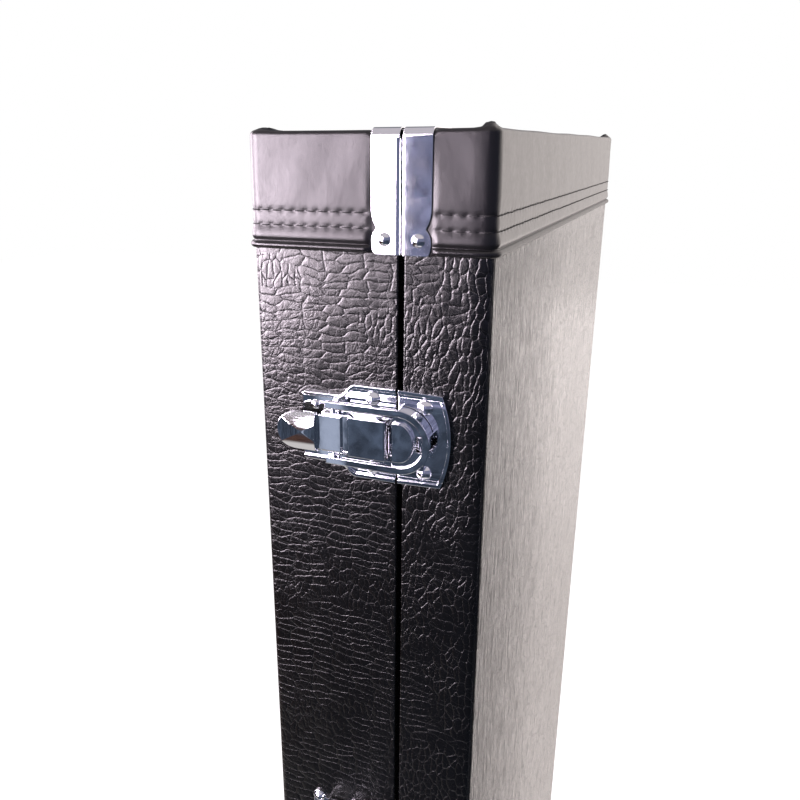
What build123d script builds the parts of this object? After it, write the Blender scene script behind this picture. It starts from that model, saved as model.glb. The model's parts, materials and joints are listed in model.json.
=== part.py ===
from build123d import *
import os
from math import sin, cos, radians, pi

# ---------------------------------------------------------------------------
# Hard-shell electric guitar case, rectangular, millimetres.
# +Z runs along the case from the head end (z = 0, on the floor) to the tail
# end (z = L, uppermost).  The latch side faces -Y, the hinge side +Y.
# The shallow lid is on +X, the deep body on -X.
# Origin: centre of the end face that the case stands on.
# ---------------------------------------------------------------------------

# overall size over the vinyl covering
L = 1031.0            # length over the end caps
B = 382.6             # width, latch side to hinge side
W = 120.0             # depth, body plus lid
SEAM = 17.0           # x of the middle of the parting line
GAP = 2.6             # parting gap between body and lid

VIN = 1.2             # grained vinyl covering
PLY = 7.0             # rim boards
PAN = 5.0             # large panels
LIN = 1.5             # plush lining
CAP_PX = 0.3          # padded end caps stand this far off the vinyl, wide faces
CAP_PY = 1.2          # the same on the latch and hinge sides
CAP_END = 5.2         # thickness of the caps over the end faces
CAP_LEN = 52.4        # end face to the middle of the hem bead
BEAD_R = 1.6          # radius of the turned hem at the cap's edge
CAP_R = 5.0           # rounding of the caps' long corners
CAP_TOP_R = 3.6       # rounding of the caps' end edges
EDGE_R = 3.4          # rounding of the long vinyl corners

# derived planes
XB = -W / 2           # back of the body, outside
XL = W / 2            # front of the lid, outside
XBS = SEAM - GAP / 2  # body edge at the seam
XLS = SEAM + GAP / 2  # lid edge at the seam
F = -B / 2            # latch side, outside
H = B / 2             # hinge side, outside
BO = B / 2 - VIN      # rim board, outer face
BI = BO - PLY         # rim board, inner face
LI = BI - LIN         # lining, inner face
Z0 = CAP_END          # outer face of the head board
Z1 = L - CAP_END      # outer face of the tail board

# latch hardware
LATCH_Z = {"tail": 889.2, "middle": 392.0, "head": 140.8}
LATCH_X = 1.3                        # x of the latches' own zero line
PLATE_T = 1.2
A_S, A_N, A_R = 10.0, 5.2, 1.25      # lever pivot in the base
B_S, B_N, B_R = -17.5, 4.7, 1.3      # hasp pivot in the lever
RIVET_R, RIVET_H = 3.9, 2.4          # domed rivet heads

# carrying handle
HAN_X = -20.9                        # middle of the body's latch side
HAN_ZT, HAN_ZB = 640.0, 475.0        # upper and lower brackets
HAN_PIV_N = 7.0                      # pivot, out from the face
HAN_N = 40.0                         # grip centre, out from the face
ROD_R = 2.7

# hinges
HINGE_Z = (870.0, 515.0, 160.0)
HA_X, HA_N = SEAM, 4.5               # hinge axis, out from the hinge side
KN_R, HP_R = 3.2, 1.6                # knuckle and pin radii

# accessory box
ACC_Z0, ACC_Z1 = 245.0, 505.0
ACC_Y0 = 48.0                        # inner wall of the box

parts = {}


def bx(x0, x1, y0, y1, z0, z1):
    return Pos((x0 + x1) / 2, (y0 + y1) / 2, (z0 + z1) / 2) * Box(
        abs(x1 - x0), abs(y1 - y0), abs(z1 - z0))


def edges_along(shape, axis, test):
    out = []
    for e in shape.edges().filter_by(axis):
        c = e.center()
        if test(c):
            out.append(e)
    return out


def rnd(shape, edges, r):
    if not edges:
        return shape
    return fillet(edges, r)


def grp(items):
    items = [i for i in items]
    sol = []
    for i in items:
        sol += list(i.solids())
    return Compound(children=sol) if len(sol) > 1 else sol[0]


def face_plane(zc, y=F):
    # local x -> +X, local y -> +Z, local z -> outwards from the latch side
    return Plane(origin=(LATCH_X, y, zc), x_dir=(1, 0, 0), z_dir=(0, -1, 0))


def dome(r, h):
    # low domed rivet head with a short cylindrical foot and a shank below
    R = (r * r + (h - 0.4) ** 2) / (2 * (h - 0.4))
    cap = Pos(0, 0, h - R) * Sphere(R)
    cyl = Pos(0, 0, h / 2) * Cylinder(r, h)
    return cap & cyl


# ---------------------------------------------------------------------------
# Body shell: five boards of plywood
# ---------------------------------------------------------------------------
panel_in = XB + VIN + PAN
e = 0.05
back = bx(XB + VIN, panel_in, -BO, BO, Z0, Z1)
back = rnd(back, edges_along(back, Axis.Z, lambda c: c.X < XB + VIN + 0.1), EDGE_R - VIN)
parts["body_back_panel"] = back
parts["body_front_board"] = bx(panel_in, XBS - VIN, -BO, -BI, Z0, Z1)
parts["body_hinge_board"] = bx(panel_in, XBS - VIN, BI, BO, Z0, Z1)
parts["body_tail_board"] = bx(panel_in, XBS - VIN, -BI, BI, Z1 - PLY, Z1)
parts["body_head_board"] = bx(panel_in, XBS - VIN, -BI, BI, Z0, Z0 + PLY)

# Lid shell
lpan_in = XL - VIN - PAN
front = bx(lpan_in, XL - VIN, -BO, BO, Z0, Z1)
front = rnd(front, edges_along(front, Axis.Z, lambda c: c.X > XL - VIN - 0.1), EDGE_R - VIN)
parts["lid_panel"] = front
parts["lid_front_board"] = bx(XLS + VIN, lpan_in, -BO, -BI, Z0, Z1)
parts["lid_hinge_board"] = bx(XLS + VIN, lpan_in, BI, BO, Z0, Z1)
parts["lid_tail_board"] = bx(XLS + VIN, lpan_in, -BI, BI, Z1 - PLY, Z1)
parts["lid_head_board"] = bx(XLS + VIN, lpan_in, -BI, BI, Z0, Z0 + PLY)


# ---------------------------------------------------------------------------
# Grained vinyl covering, wrapped over the seam edges of the rim
# ---------------------------------------------------------------------------
def cover(x_out, x_seam):
    s = 1 if x_out < x_seam else -1
    zc0, zc1 = CAP_LEN - 4.0, L - CAP_LEN + 4.0
    out = bx(x_out, x_seam, F, H, zc0, zc1)
    out = rnd(out, edges_along(out, Axis.Z, lambda c: abs(c.X - x_out) < 0.1), EDGE_R)
    out = rnd(out, edges_along(out, Axis.Z, lambda c: abs(c.X - x_seam) < 0.1), 0.9)
    inn = bx(x_out + s * VIN, x_seam - s * VIN, -BO, BO, zc0 - 1, zc1 + 1)
    inn = rnd(inn, edges_along(inn, Axis.Z, lambda c: abs(c.X - x_out) < VIN + 0.1), EDGE_R - VIN)
    mouth = bx(x_seam - s * 3, x_seam + s * 2, -BI, BI, zc0 - 1, zc1 + 1)
    return out - inn - mouth


parts["body_vinyl_cover"] = cover(XB, XBS)
parts["lid_vinyl_cover"] = cover(XL, XLS)


# ---------------------------------------------------------------------------
# Padded leatherette end caps with a turned, beaded hem
# ---------------------------------------------------------------------------
CY = B / 2 + CAP_PY


def cap_up(x_out, x_seam):
    # the cap as it sits on the tail end (top)
    s = 1 if x_out < x_seam else -1
    xo = x_out - s * CAP_PX
    zb = L - CAP_LEN - 1.2
    out = bx(xo, x_seam, -CY, CY, zb, L)
    out = rnd(out, edges_along(out, Axis.Z, lambda c: abs(c.X - xo) < 0.1), CAP_R)
    tops = [ed for ed in out.edges() if abs(ed.center().Z - L) < 0.02
            and abs(ed.center().X - x_seam) > 0.5]
    out = fillet(tops, CAP_TOP_R)
    core = bx(x_out + s * VIN, x_seam + s * 1, -BO, BO, zb - 1, Z1)
    core = rnd(core, edges_along(core, Axis.Z, lambda c: abs(c.X - x_out) < VIN + 0.1), EDGE_R - VIN)
    low = bx(x_out, x_seam + s * 1, F, H, zb - 1, L - CAP_LEN + 4.0)
    low = rnd(low, edges_along(low, Axis.Z, lambda c: abs(c.X - x_out) < 0.1), EDGE_R)
    # turned-in edge at the seam, over the end grain of the boards
    lip = bx(x_seam - s * VIN, x_seam, -BO, -BI, L - CAP_LEN + 4.0, Z1)
    lip += bx(x_seam - s * VIN, x_seam, BI, BO, L - CAP_LEN + 4.0, Z1)
    lip += bx(x_seam - s * VIN, x_seam, -BI, BI, Z1 - PLY, Z1)
    cap = out - core - low + lip
    # beaded hem: a round strip along three sides
    zc = L - CAP_LEN
    yb = CY
    xb = xo
    r = CAP_R
    p0 = (x_seam, -yb, zc)
    pts = [p0, (xb, -yb, zc), (xb, yb, zc), (x_seam, yb, zc)]
    path = FilletPolyline(*pts, radius=r)
    pl = Plane(origin=p0, x_dir=(0, 0, 1), z_dir=(-s, 0, 0))
    bead = sweep(pl * Circle(BEAD_R), path=path)
    return cap + (bead - low - core)


def to_bottom(shape):
    return mirror(shape, about=Plane(origin=(0, 0, L / 2), z_dir=(0, 0, 1)))


# chrome edge clips: a strip down each side of the seam at both ends, bent
# over the end face, with a small flange into the parting gap
CLIP_T = 0.7
CLIP_LEN = 54.5
CLIP_BACK = 26.0
CLIP_XB, CLIP_WB, CLIP_RB = XBS + 1.3, 13.8, 1.9    # body: seam edge, width, bend
CLIP_XL, CLIP_WL, CLIP_RL = XLS - 0.7, 14.0, 1.2    # lid


def clip_outline(w):
    # outline in (distance from the seam edge, z below the end)
    b = -CLIP_LEN
    return [
        (-1, 1), (-1, b), (w * 0.86, b), (w * 0.93, b + 0.5), (w * 0.975, b + 2.0),
        (w * 0.995, b + 4.2), (w, b + 6.0), (w * 0.985, b + 8.2), (w * 0.92, b + 10.0),
        (w * 0.86, b + 11.1), (w * 0.83, b + 11.6), (w * 0.86, b + 12.6), (w * 0.92, b + 14.2),
        (w * 0.975, b + 16.6), (w, b + 19.0), (w, 1),
    ]


def clip_up(x_seam, s, w, rb, hinge_side=False):
    # s = -1 for the body (clip runs towards -X), +1 for the lid
    yo = CY
    zb = L - CLIP_LEN
    # strip and flange as one bent sheet, seen along Z
    sheet = bx(x_seam, x_seam + s * w, -yo - CLIP_T, -yo + 6.0, zb, L - 4.6)
    sheet = rnd(sheet, [ed for ed in sheet.edges().filter_by(Axis.Z)
                        if abs(ed.center().X - x_seam) < 0.05 and ed.center().Y < -yo], rb)
    hollow = bx(x_seam + s * CLIP_T, x_seam + s * (w + 1), -yo, -yo + 7.0, zb - 1, L - 4.0)
    hollow = rnd(hollow, [ed for ed in hollow.edges().filter_by(Axis.Z)
                          if abs(ed.center().X - x_seam - s * CLIP_T) < 0.05 and ed.center().Y < -yo + 0.05], rb - CLIP_T)
    sheet = sheet - hollow
    pts = [(x_seam + s * a, L + b) for a, b in clip_outline(w)]
    pl = Plane(origin=(0, -yo + 10, 0), x_dir=(1, 0, 0), z_dir=(0, -1, 0))
    f = make_face(Polyline([(a, b) for a, b in pts] + [(pts[0][0], pts[0][1])]))
    sheet = sheet & extrude(pl * f, amount=20)
    # bend over the end: quarter ring and a leg on the end face
    rc = CAP_TOP_R
    outer = bx(x_seam, x_seam + s * w, -yo - CLIP_T, -yo + CLIP_BACK, L - 14.0, L + 0.0)
    outer = rnd(outer, [ed for ed in outer.edges().filter_by(Axis.X)
                        if abs(ed.center().Z - L) < 0.1 and ed.center().Y < -yo + 1], rc + CLIP_T)
    xa, xb_ = sorted((x_seam - s * 1, x_seam + s * (w + 1)))
    inner = bx(xa, xb_, -yo, -yo + CLIP_BACK + 1, L - 15.0, L - CLIP_T)
    inner = rnd(inner, [ed for ed in inner.edges().filter_by(Axis.X)
                        if abs(ed.center().Z - (L - CLIP_T)) < 0.1 and ed.center().Y < -yo + 1], rc)
    hood = outer - inner
    hood = hood - bx(x_seam - 40, x_seam + 40, -yo - 5, -yo + CLIP_BACK + 5, L - CLIP_LEN - 5, L - 4.6)
    hood = hood - bx(x_seam - s * 1, x_seam + s * 0.5, -yo - 5, -yo + CLIP_BACK + 5, L - 10, L + 5)
    clip = sheet + hood
    if hinge_side:
        clip = mirror(clip, about=Plane.XZ)
    return clip


def clip_set(x_seam, s, w, rb):
    a = clip_up(x_seam, s, w, rb)
    b = clip_up(x_seam, s, w, rb, True)
    return [a, b, to_bottom(a), to_bottom(b)]


body_clips = clip_set(CLIP_XB, -1, CLIP_WB, CLIP_RB)
lid_clips = clip_set(CLIP_XL, 1, CLIP_WL, CLIP_RL)
parts["body_edge_clips"] = grp(body_clips)
parts["lid_edge_clips"] = grp(lid_clips)


def pocket(x_seam, s, w):
    # recess in the cap's end face that the clip's bent leg lies in
    a = bx(x_seam + s * (w + 0.02), x_seam - s * 2.0, -CY - 1.0, -CY + CLIP_BACK + 0.02, L - CLIP_T - 0.02, L + 1)
    return a


def cap_with_pockets(x_out, x_seam, x_clip, s, w, clips):
    c = cap_up(x_out, x_seam)
    # the hem is pressed flat under the clips
    for m in (False, True):
        q = bx(x_clip + s * (w - 0.1), x_seam - s * 2.0, -CY - 3.0, -CY, L - CAP_LEN - 3.0, L - 8.0)
        p = pocket(x_clip, s, w)
        if m:
            p = mirror(p, about=Plane.XZ)
            q = mirror(q, about=Plane.XZ)
        c = c - p - q
    for cl in clips[:2]:
        c = c - cl
    return c


tcb = cap_with_pockets(XB, XBS, CLIP_XB, -1, CLIP_WB, body_clips)
tcl = cap_with_pockets(XL, XLS, CLIP_XL, 1, CLIP_WL, lid_clips)
parts["tail_cap_body"] = tcb
parts["tail_cap_lid"] = tcl
parts["head_cap_body"] = to_bottom(tcb)
parts["head_cap_lid"] = to_bottom(tcl)

# ---------------------------------------------------------------------------
# Wooden locating lip inside the body's rim, standing into the lid
# ---------------------------------------------------------------------------
LIP_T, LIP_UP, LIP_DN, LIP_CL = 4.0, 7.0, 24.0, 0.9
lx0, lx1 = XBS - LIP_DN, XBS + LIP_UP


def lip_long(sy):
    a = bx(lx0, lx1, sy * BI, sy * (BI - LIP_T), Z0 + PLY, Z1 - PLY)
    a = a - bx(XBS - 0.6, lx1 + 1, sy * (BI + 1), sy * (BI - LIP_CL), 0, L)
    a = a - bx(XBS - 0.6, lx1 + 1, sy * 300, sy * 0, 0, Z0 + PLY + LIP_CL)
    a = a - bx(XBS - 0.6, lx1 + 1, sy * 300, sy * 0, Z1 - PLY - LIP_CL, L)
    return a


def lip_end(top):
    z0 = Z1 - PLY - LIP_T if top else Z0 + PLY
    a = bx(lx0, lx1, -BI + LIP_T, BI - LIP_T, z0, z0 + LIP_T)
    if top:
        a = a - bx(XBS - 0.6, lx1 + 1, -300, 300, Z1 - PLY - LIP_CL, L)
    else:
        a = a - bx(XBS - 0.6, lx1 + 1, -300, 300, 0, Z0 + PLY + LIP_CL)
    return a


parts["body_locating_lip"] = grp([lip_long(-1), lip_long(1), lip_end(True), lip_end(False)])

# ---------------------------------------------------------------------------
# Plush lining
# ---------------------------------------------------------------------------
fl_x = panel_in + LIN                       # lining floor, body
zi0, zi1 = Z0 + PLY, Z1 - PLY               # inner faces of the end boards
blin = bx(panel_in, lx0, -BI, BI, zi0, zi1) - bx(fl_x, lx0 + 1, -LI, LI, zi0 + LIN, zi1 - LIN)
parts["body_plush_lining"] = blin
ll_x = lpan_in - LIN
lid_lin_x = lx1 + 1.5
llin = bx(lid_lin_x, lpan_in, -BI, BI, zi0, zi1) - bx(lid_lin_x - 1, ll_x, -LI, LI, zi0 + LIN, zi1 - LIN)
parts["lid_plush_lining"] = llin
# padded panel in the lid
lp = bx(ll_x - 9.0, ll_x, -LI + 4, LI - 4, zi0 + LIN + 4, zi1 - LIN - 4)
lp = rnd(lp, edges_along(lp, Axis.X, lambda c: True), 24)
parts["lid_pad"] = lp

# ---------------------------------------------------------------------------
# Foam surround for the guitar, cut from thick foam, plush covered.
# Profiles are drawn in (y, z) and run from the lining floor up to PADX.
# The tail of the guitar is at the top.
# ---------------------------------------------------------------------------
PADX = 8.0
zt = zi1 - LIN                              # inside of the lining, tail end
zh = zi0 + LIN                              # inside of the lining, head end


def prism(pts, x0, x1, closed_spline=False):
    pl = Plane(origin=(x0, 0, 0), x_dir=(0, 1, 0), z_dir=(1, 0, 0))
    f = make_face(Polyline(pts + [pts[0]]))
    return extrude(pl * f, amount=x1 - x0)


def arc_pts(cy, cz, ry, rz, a0, a1, n):
    return [(cy + ry * cos(radians(a0 + (a1 - a0) * i / n)),
             cz + rz * sin(radians(a0 + (a1 - a0) * i / n))) for i in range(n + 1)]


LIP_IN = BI - LIP_T
g = 0.3
# tail pad: a bowl across the full width for the guitar's lower end
tail_pts = [(-LI + g, zt - 150), (-LI + g, zt), (LI - g, zt), (LI - g, zt - 150), (164, zt - 150)]
tail_pts += arc_pts(0, zt - 150, 164, 124, 0, 180, 24)[1:-1]
tail_pts += [(-164, zt - 150)]
parts["tail_pad"] = prism(tail_pts, fl_x, lx0)
# waist pads, one each side
wz = zt - 262
waist = []
for sg in (-1, 1):
    pts = [(sg * (LI - g), wz - 70), (sg * (LI - g), wz + 70)]
    pts += [(sg * (LI - g - 40 * sin(radians(180 * i / 14)) ** 1.3), wz + 62 - 124 * i / 14) for i in range(1, 14)]
    waist.append(prism(pts, fl_x, lx0))
parts["waist_pads"] = grp(waist)
# shoulder pads at the guitar's upper bouts, either side of the neck
sz0 = ACC_Z1 + 4.0
shoulder = []
for sg in (-1, 1):
    pts = [(sg * 36, sz0), (sg * (LI - g), sz0), (sg * (LI - g), sz0 + 120)]
    pts += [(sg * (150 - 112 * sin(radians(90 * i / 10)) ** 1.0), sz0 + 22 + 92 * cos(radians(90 * i / 10)) ** 1.2)
            for i in range(0, 10)]
    pts += [(sg * 38, sz0 + 20), (sg * 36, sz0 + 16)]
    shoulder.append(prism(pts, fl_x, lx0))
parts["shoulder_pads"] = grp(shoulder)
# filler block on the latch side beside the neck
blk = bx(fl_x, lx0, -LI + g, -48, ACC_Z0, ACC_Z1)
parts["side_block"] = rnd(blk, edges_along(blk, Axis.Z, lambda c: c.X > lx0 - 1 and c.Y > -60), 8)
# neck support with a rounded saddle, under the neck near the headstock
ns = bx(fl_x, lx0 - 2, -47.5, 46, ACC_Z0 + 6, ACC_Z0 + 66)
saddle = Pos(lx0 + 8, 0, ACC_Z0 + 36) * Rot(0, 0, 0) * Cylinder(31, 80)
parts["neck_support"] = ns - saddle
# headstock pad at the far end
hp = bx(fl_x, lx0, -LI + g, LI - g, zh, zh + 36)
parts["headstock_pad"] = rnd(hp, edges_along(hp, Axis.Y, lambda c: c.X > lx0 - 1 and c.Z > zh + 30), 10)

# ---------------------------------------------------------------------------
# Accessory box: thin plywood walls, own lid hinged on a ledge at the hinge side
# ---------------------------------------------------------------------------
AT = 4.0
acc_top = lx0 - 0.4
yw = LI - 0.2
AP_Y, AP_X = yw - 8.6, acc_top - 2.2        # pivot of the box lid
ACC_PIN_R = 1.0
box_w = bx(fl_x, acc_top - 4.4, ACC_Y0, yw, ACC_Z0, ACC_Z1)
box_w = box_w - bx(fl_x - 1, acc_top, ACC_Y0 + AT, yw - AT, ACC_Z0 + AT, ACC_Z1 - AT)
ledge = bx(acc_top - 4.6, acc_top - 0.2, AP_Y + 2.6, yw, ACC_Z0, ACC_Z1)
parts["accessory_box"] = box_w + ledge
AL_T = 4.0
al = bx(acc_top - AL_T, acc_top, ACC_Y0 - 1, AP_Y - 2.6, ACC_Z0 + 1, ACC_Z1 - 1)
al = rnd(al, edges_along(al, Axis.X, lambda c: c.Y < ACC_Y0), 10)
pin_z = (ACC_Z0 + 40, ACC_Z1 - 40)
for pz in pin_z:
    k = Pos(AP_X, AP_Y, pz) * Cylinder(2.0, 18) + bx(AP_X - 1.8, AP_X + 2.0, AP_Y - 3.0, AP_Y, pz - 9, pz + 9)
    k = k - Pos(AP_X, AP_Y, pz) * Cylinder(ACC_PIN_R + 0.05, 30)
    al = al + k
parts["accessory_lid"] = al
parts["accessory_hinge_pins"] = grp([Pos(AP_X, AP_Y, pz) * Cylinder(ACC_PIN_R, 30) for pz in pin_z])
post = []
for pz in pin_z:
    for sgn in (-1, 1):
        zc = pz + sgn * 12.2
        q = Pos(AP_X, AP_Y, zc) * Cylinder(2.0, 5.6) + bx(AP_X - 2.0, AP_X + 2.0, AP_Y, AP_Y + 2.6, zc - 2.8, zc + 2.8)
        q = q - Pos(AP_X, AP_Y, zc) * Cylinder(ACC_PIN_R, 30)
        post.append(q)
parts["accessory_hinge_eyes"] = grp(post)
parts["accessory_pull_tab"] = bx(acc_top, acc_top + 1.0, ACC_Y0 - 24, ACC_Y0 + 14,
                                 (ACC_Z0 + ACC_Z1) / 2 - 8, (ACC_Z0 + ACC_Z1) / 2 + 8)


# ---------------------------------------------------------------------------
# Latches.  Local frame: s along +X, w along +Z, n outwards from the face
# ---------------------------------------------------------------------------
def plate(pts, n0, n1, r=None, corner=None):
    f = make_face(Polyline(pts + [pts[0]]))
    if corner:
        vs = [v for v in f.vertices() if corner(v)]
        f = fillet(vs, r)
    return Pos(0, 0, n0) * extrude(f, amount=n1 - n0)


def smooth_step(x0, y0, x1, y1, n=14):
    return [(x0 + (x1 - x0) * i / n, y0 + (y1 - y0) * (0.5 - 0.5 * cos(pi * i / n))) for i in range(n + 1)]


def rcyl(s, n, r, w0, w1):
    # cylinder along w
    return Pos(s, (w0 + w1) / 2, n) * Rot(90, 0, 0) * Cylinder(r, w1 - w0)


BASE_END = 14.2              # the two plates nearly meet over the seam
KEEP_S0 = 15.4
HW_TAB, HW_MAX = 18.0, 24.1


def base_outline(off=0.0):
    up = [(-36 + off, HW_TAB - off), (-16.3, HW_TAB - off)] + smooth_step(-16.3, HW_TAB - off, -7, HW_MAX - off)[1:] + [(BASE_END, HW_MAX - off)]
    dn = [(x, -y) for x, y in reversed(up)]
    return up + dn


def latch_base():
    p = plate(base_outline(), 0, PLATE_T, 1.5, lambda v: v.X < -35)
    rim = plate(base_outline(), PLATE_T, PLATE_T + 1.1, 1.5, lambda v: v.X < -35)
    inn = plate(base_outline(1.9), PLATE_T - 0.5, PLATE_T + 2)
    inn = inn + bx_l(-40, -30, -HW_TAB + 1.9, HW_TAB - 1.9, PLATE_T - 0.5, 4) + bx_l(BASE_END - 2, BASE_END + 2, -HW_MAX + 1.9, HW_MAX - 1.9, PLATE_T - 0.5, 4)
    rim = rim - inn
    p = p + rim
    for sg in (-1, 1):
        w0, w1 = (7.2, 8.6) if sg > 0 else (-8.6, -7.2)
        ear = bx_l(A_S - 3.2, A_S + 3.2, w0, w1, PLATE_T - 0.2, A_N) + rcyl(A_S, A_N, 2.4, w0, w1)
        p = p + ear
    p = p - rcyl(A_S, A_N, A_R, -20, 20)
    return p


def bx_l(s0, s1, w0, w1, n0, n1):
    return bx(s0, s1, w0, w1, n0, n1)


def keeper():
    n = 24
    right = []
    for i in range(n + 1):
        t = -1 + 2 * i / n
        right.append((37.6 + 4.7 * (1 - t * t), 23.4 * t))
    up = [(KEEP_S0, -HW_MAX)] + right + [(KEEP_S0, HW_MAX)]
    p = plate(up, 0, PLATE_T)
    rim = plate(up, PLATE_T, PLATE_T + 1.0)
    sm = [(KEEP_S0 - 2, -HW_MAX + 1.8)] + [(x - 1.5, y * (23.4 - 1.8) / 23.4) for x, y in right] + [(KEEP_S0 - 2, HW_MAX - 1.8)]
    rim = rim - plate(sm, PLATE_T - 0.5, PLATE_T + 2)
    p = p + rim
    # raised hook that the hasp drops over
    hk = bx_l(26.6, 29.8, -3.4, 3.4, PLATE_T - 0.2, 5.2)
    hk = fillet(hk.edges().filter_by(Axis.Z), 1.2)
    hk = hk + (rcyl(28.2, 5.0, 1.3, -3.4, 3.4))
    return p + hk


def stadium(s0, s1, hw, n0, n1):
    # square left end, rounded right end
    cx = s1 - hw
    end = Pos(cx, 0, (n0 + n1) / 2) * Cylinder(hw, n1 - n0) - bx_l(cx - hw - 1, cx, -hw - 1, hw + 1, n0 - 1, n1 + 1)
    return bx_l(s0, cx, -hw, hw, n0, n1) + end


RO, RI = 16.2, 12.9         # hasp loop, outer and inner half widths
HN0, HN1 = 6.7, 9.0         # hasp loop, lower and upper faces
HS1 = 34.0                  # rounded end of the hasp
SK_N = 1.9                  # lower edge of the hasp's skirt


def d_shape(s0, s1, hw, n0, n1):
    # straight left side, bowed right side
    f = Pos(s0 + 3.5, 0) * Ellipse(s1 - s0 - 3.5, hw) + Pos(s0 + 1.75, 0) * Rectangle(3.5, 2 * hw)
    f = f - Pos(s0 - 20, 0) * Rectangle(40, 80)
    return Pos(0, 0, n0) * extrude(f, amount=n1 - n0)


def hasp():
    h = stadium(B_S - 2.8, HS1, RO, HN0, HN1)
    # the rounded end has a skirt down to just above the keeper plate
    h = h + stadium(16.6, HS1, RO, SK_N, HN1)
    h = h - bx_l(B_S - 5, 14.6, -RI, RI, HN0 - 1, HN1 + 1)
    h = h - stadium(12.0, HS1 - 3.3, RI, HN0 + 1.0, HN1 + 1)
    h = h - stadium(12.0, HS1 - 1.2, RO - 1.2, SK_N - 1, HN0)
    h = h - bx_l(26.9, 29.6, -3.9, 3.9, HN0 - 1, HN1 + 1)
    # notch in the skirt that the keeper's hook passes through
    h = h - bx_l(28.0, HS1 + 1, -4.1, 4.1, SK_N - 1, HN0 + 0.1)
    h = h + d_shape(15.4, 26.0, 9.75, HN0 + 0.5, 9.9)
    for sg in (-1, 1):
        w0, w1 = (RI, RI + 1.4) if sg > 0 else (-RI - 1.4, -RI)
        ear = bx_l(B_S - 2.8, B_S + 2.8, w0, w1, B_N, HN0 + 0.2) + rcyl(B_S, B_N, 2.8, w0, w1)
        h = h + ear
    h = h - rcyl(B_S, B_N, B_R, -30, 30)
    return h


LW = 10.1                   # lever half width
SPOON_N = 13.0              # crown of the thumb pad


def lever():
    # box over the pivot
    top_box = bx_l(-7.4, 12.2, -LW, LW, 9.2, 10.5)
    top_box = fillet(top_box.edges().filter_by(Axis.Y).sort_by(Axis.X)[-2:].sort_by(Axis.Z)[-1:], 1.0)
    neck = bx_l(-25.6, -12.0, -9.1, 9.1, 8.2, 9.5)
    groove = bx_l(-12.6, -6.8, -9.1, 9.1, 6.9, 8.2)
    riser1 = bx_l(-12.6, -11.6, -9.1, 9.1, 6.9, 9.5)
    riser2 = bx_l(-7.6, -6.6, -9.1, 9.1, 6.9, 10.4)
    lv = top_box + neck + groove + riser1 + riser2
    for sg in (-1, 1):
        w0, w1 = (8.9, LW) if sg > 0 else (-LW, -8.9)
        ck = plate([(-22.5, 8.4), (-22.5, 2.6), (7.6, 2.6), (12.2, 3.8), (12.2, 9.4), (-6.8, 9.4), (-7.2, 8.4)], 0, 1.0)
        ck = Rot(90, 0, 0) * ck          # now in (s, n), thickness along -w
        ck = Pos(0, w1 if sg > 0 else w0 + 1.2, 0) * (Rot(0, 0, 0) * ck)
        cb = bx_l(-22.5, 12.2, w0, w1, 2.6, 9.3)
        cb = cb - bx_l(-30, -6.8, w0 - 1, w1 + 1, 8.3, 12)
        cb = cb - bx_l(7.8, 13, w0 - 1, w1 + 1, 2, 3.4)
        lv = lv + cb
    # thumb pad: domed spoon with a rounded end
    k = 32
    hw = 9.8
    out = [(-24.6, -hw)]
    cx = -45.8 + hw * 1.05
    arc = [(cx - hw * 1.05 * sin(radians(180 * i / k)), -hw * cos(radians(180 * i / k))) for i in range(k + 1)]
    out = [(-24.6, -hw)] + arc + [(-24.6, hw)]
    sp = plate(out, 4.0, 16.0)
    sc = -32.0
    barrel = Pos(-35, 0, SPOON_N - 25.0) * Rot(0, 90, 0) * Cylinder(25.0, 40)
    bell = Pos(sc, 0, SPOON_N - 75.0) * Rot(90, 0, 0) * Cylinder(75.0, 40)
    under = Pos(sc, 0, SPOON_N - 75.0) * Rot(90, 0, 0) * Cylinder(75.0 - 2.2, 40)
    under2 = Pos(-35, 0, SPOON_N - 25.0) * Rot(0, 90, 0) * Cylinder(25.0 - 2.2, 42)
    sp = (sp & barrel & bell) - (under & under2)
    # step from the neck up to the thumb pad
    sp = sp + (bx_l(-25.8, -24.6, -9.1, 9.1, 8.2, 16.0) & Pos(-35, 0, SPOON_N - 25.6) * Rot(0, 90, 0) * Cylinder(25.0, 40))
    lv = lv + sp
    lv = lv - rcyl(A_S, A_N, A_R + 0.06, -30, 30) - rcyl(B_S, B_N, B_R, -30, 30)
    return lv


def hasp_pin():
    p = rcyl(B_S, B_N, B_R - 0.06, -RI - 1.9, RI + 1.9)
    hd = []
    for sg in (-1, 1):
        w0, w1 = (RI + 1.5, RI + 2.5) if sg > 0 else (-RI - 2.5, -RI - 1.5)
        p = p + rcyl(B_S, B_N, 1.7, w0, w1)
    return p


def pivot_pin():
    return rcyl(A_S, A_N, A_R, -LW, LW)


base_rivets = [(2.2, 18.2), (2.2, -18.2), (-29.0, 11.5), (-29.0, -11.5)]
keep_rivets = [(29.0, 16.8), (29.0, -16.8)]
body_rivets, lid_rivets = [], []


def rivet_on(plane, s, w, n, r=RIVET_R, h=RIVET_H):
    return plane.location * (Pos(s, w, n) * dome(r, h))


pivot_pins = []
for nm, zc in LATCH_Z.items():
    P = face_plane(zc)
    loc = P.location
    parts["latch_base_" + nm] = loc * latch_base()
    parts["latch_lever_" + nm] = loc * lever()
    parts["latch_hasp_" + nm] = loc * hasp()
    parts["hasp_pin_" + nm] = loc * hasp_pin()
    parts["latch_keeper_" + nm] = loc * keeper()
    pivot_pins.append(loc * pivot_pin())
    for s, w in base_rivets[:2]:
        body_rivets.append(rivet_on(P, s, w, PLATE_T))
    for s, w in base_rivets[2:]:
        body_rivets.append(rivet_on(P, s, w, PLATE_T, 2.4, 1.4))
    for s, w in keep_rivets:
        lid_rivets.append(rivet_on(P, s, w, PLATE_T))
parts["latch_pivot_pins"] = grp(pivot_pins)

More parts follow.
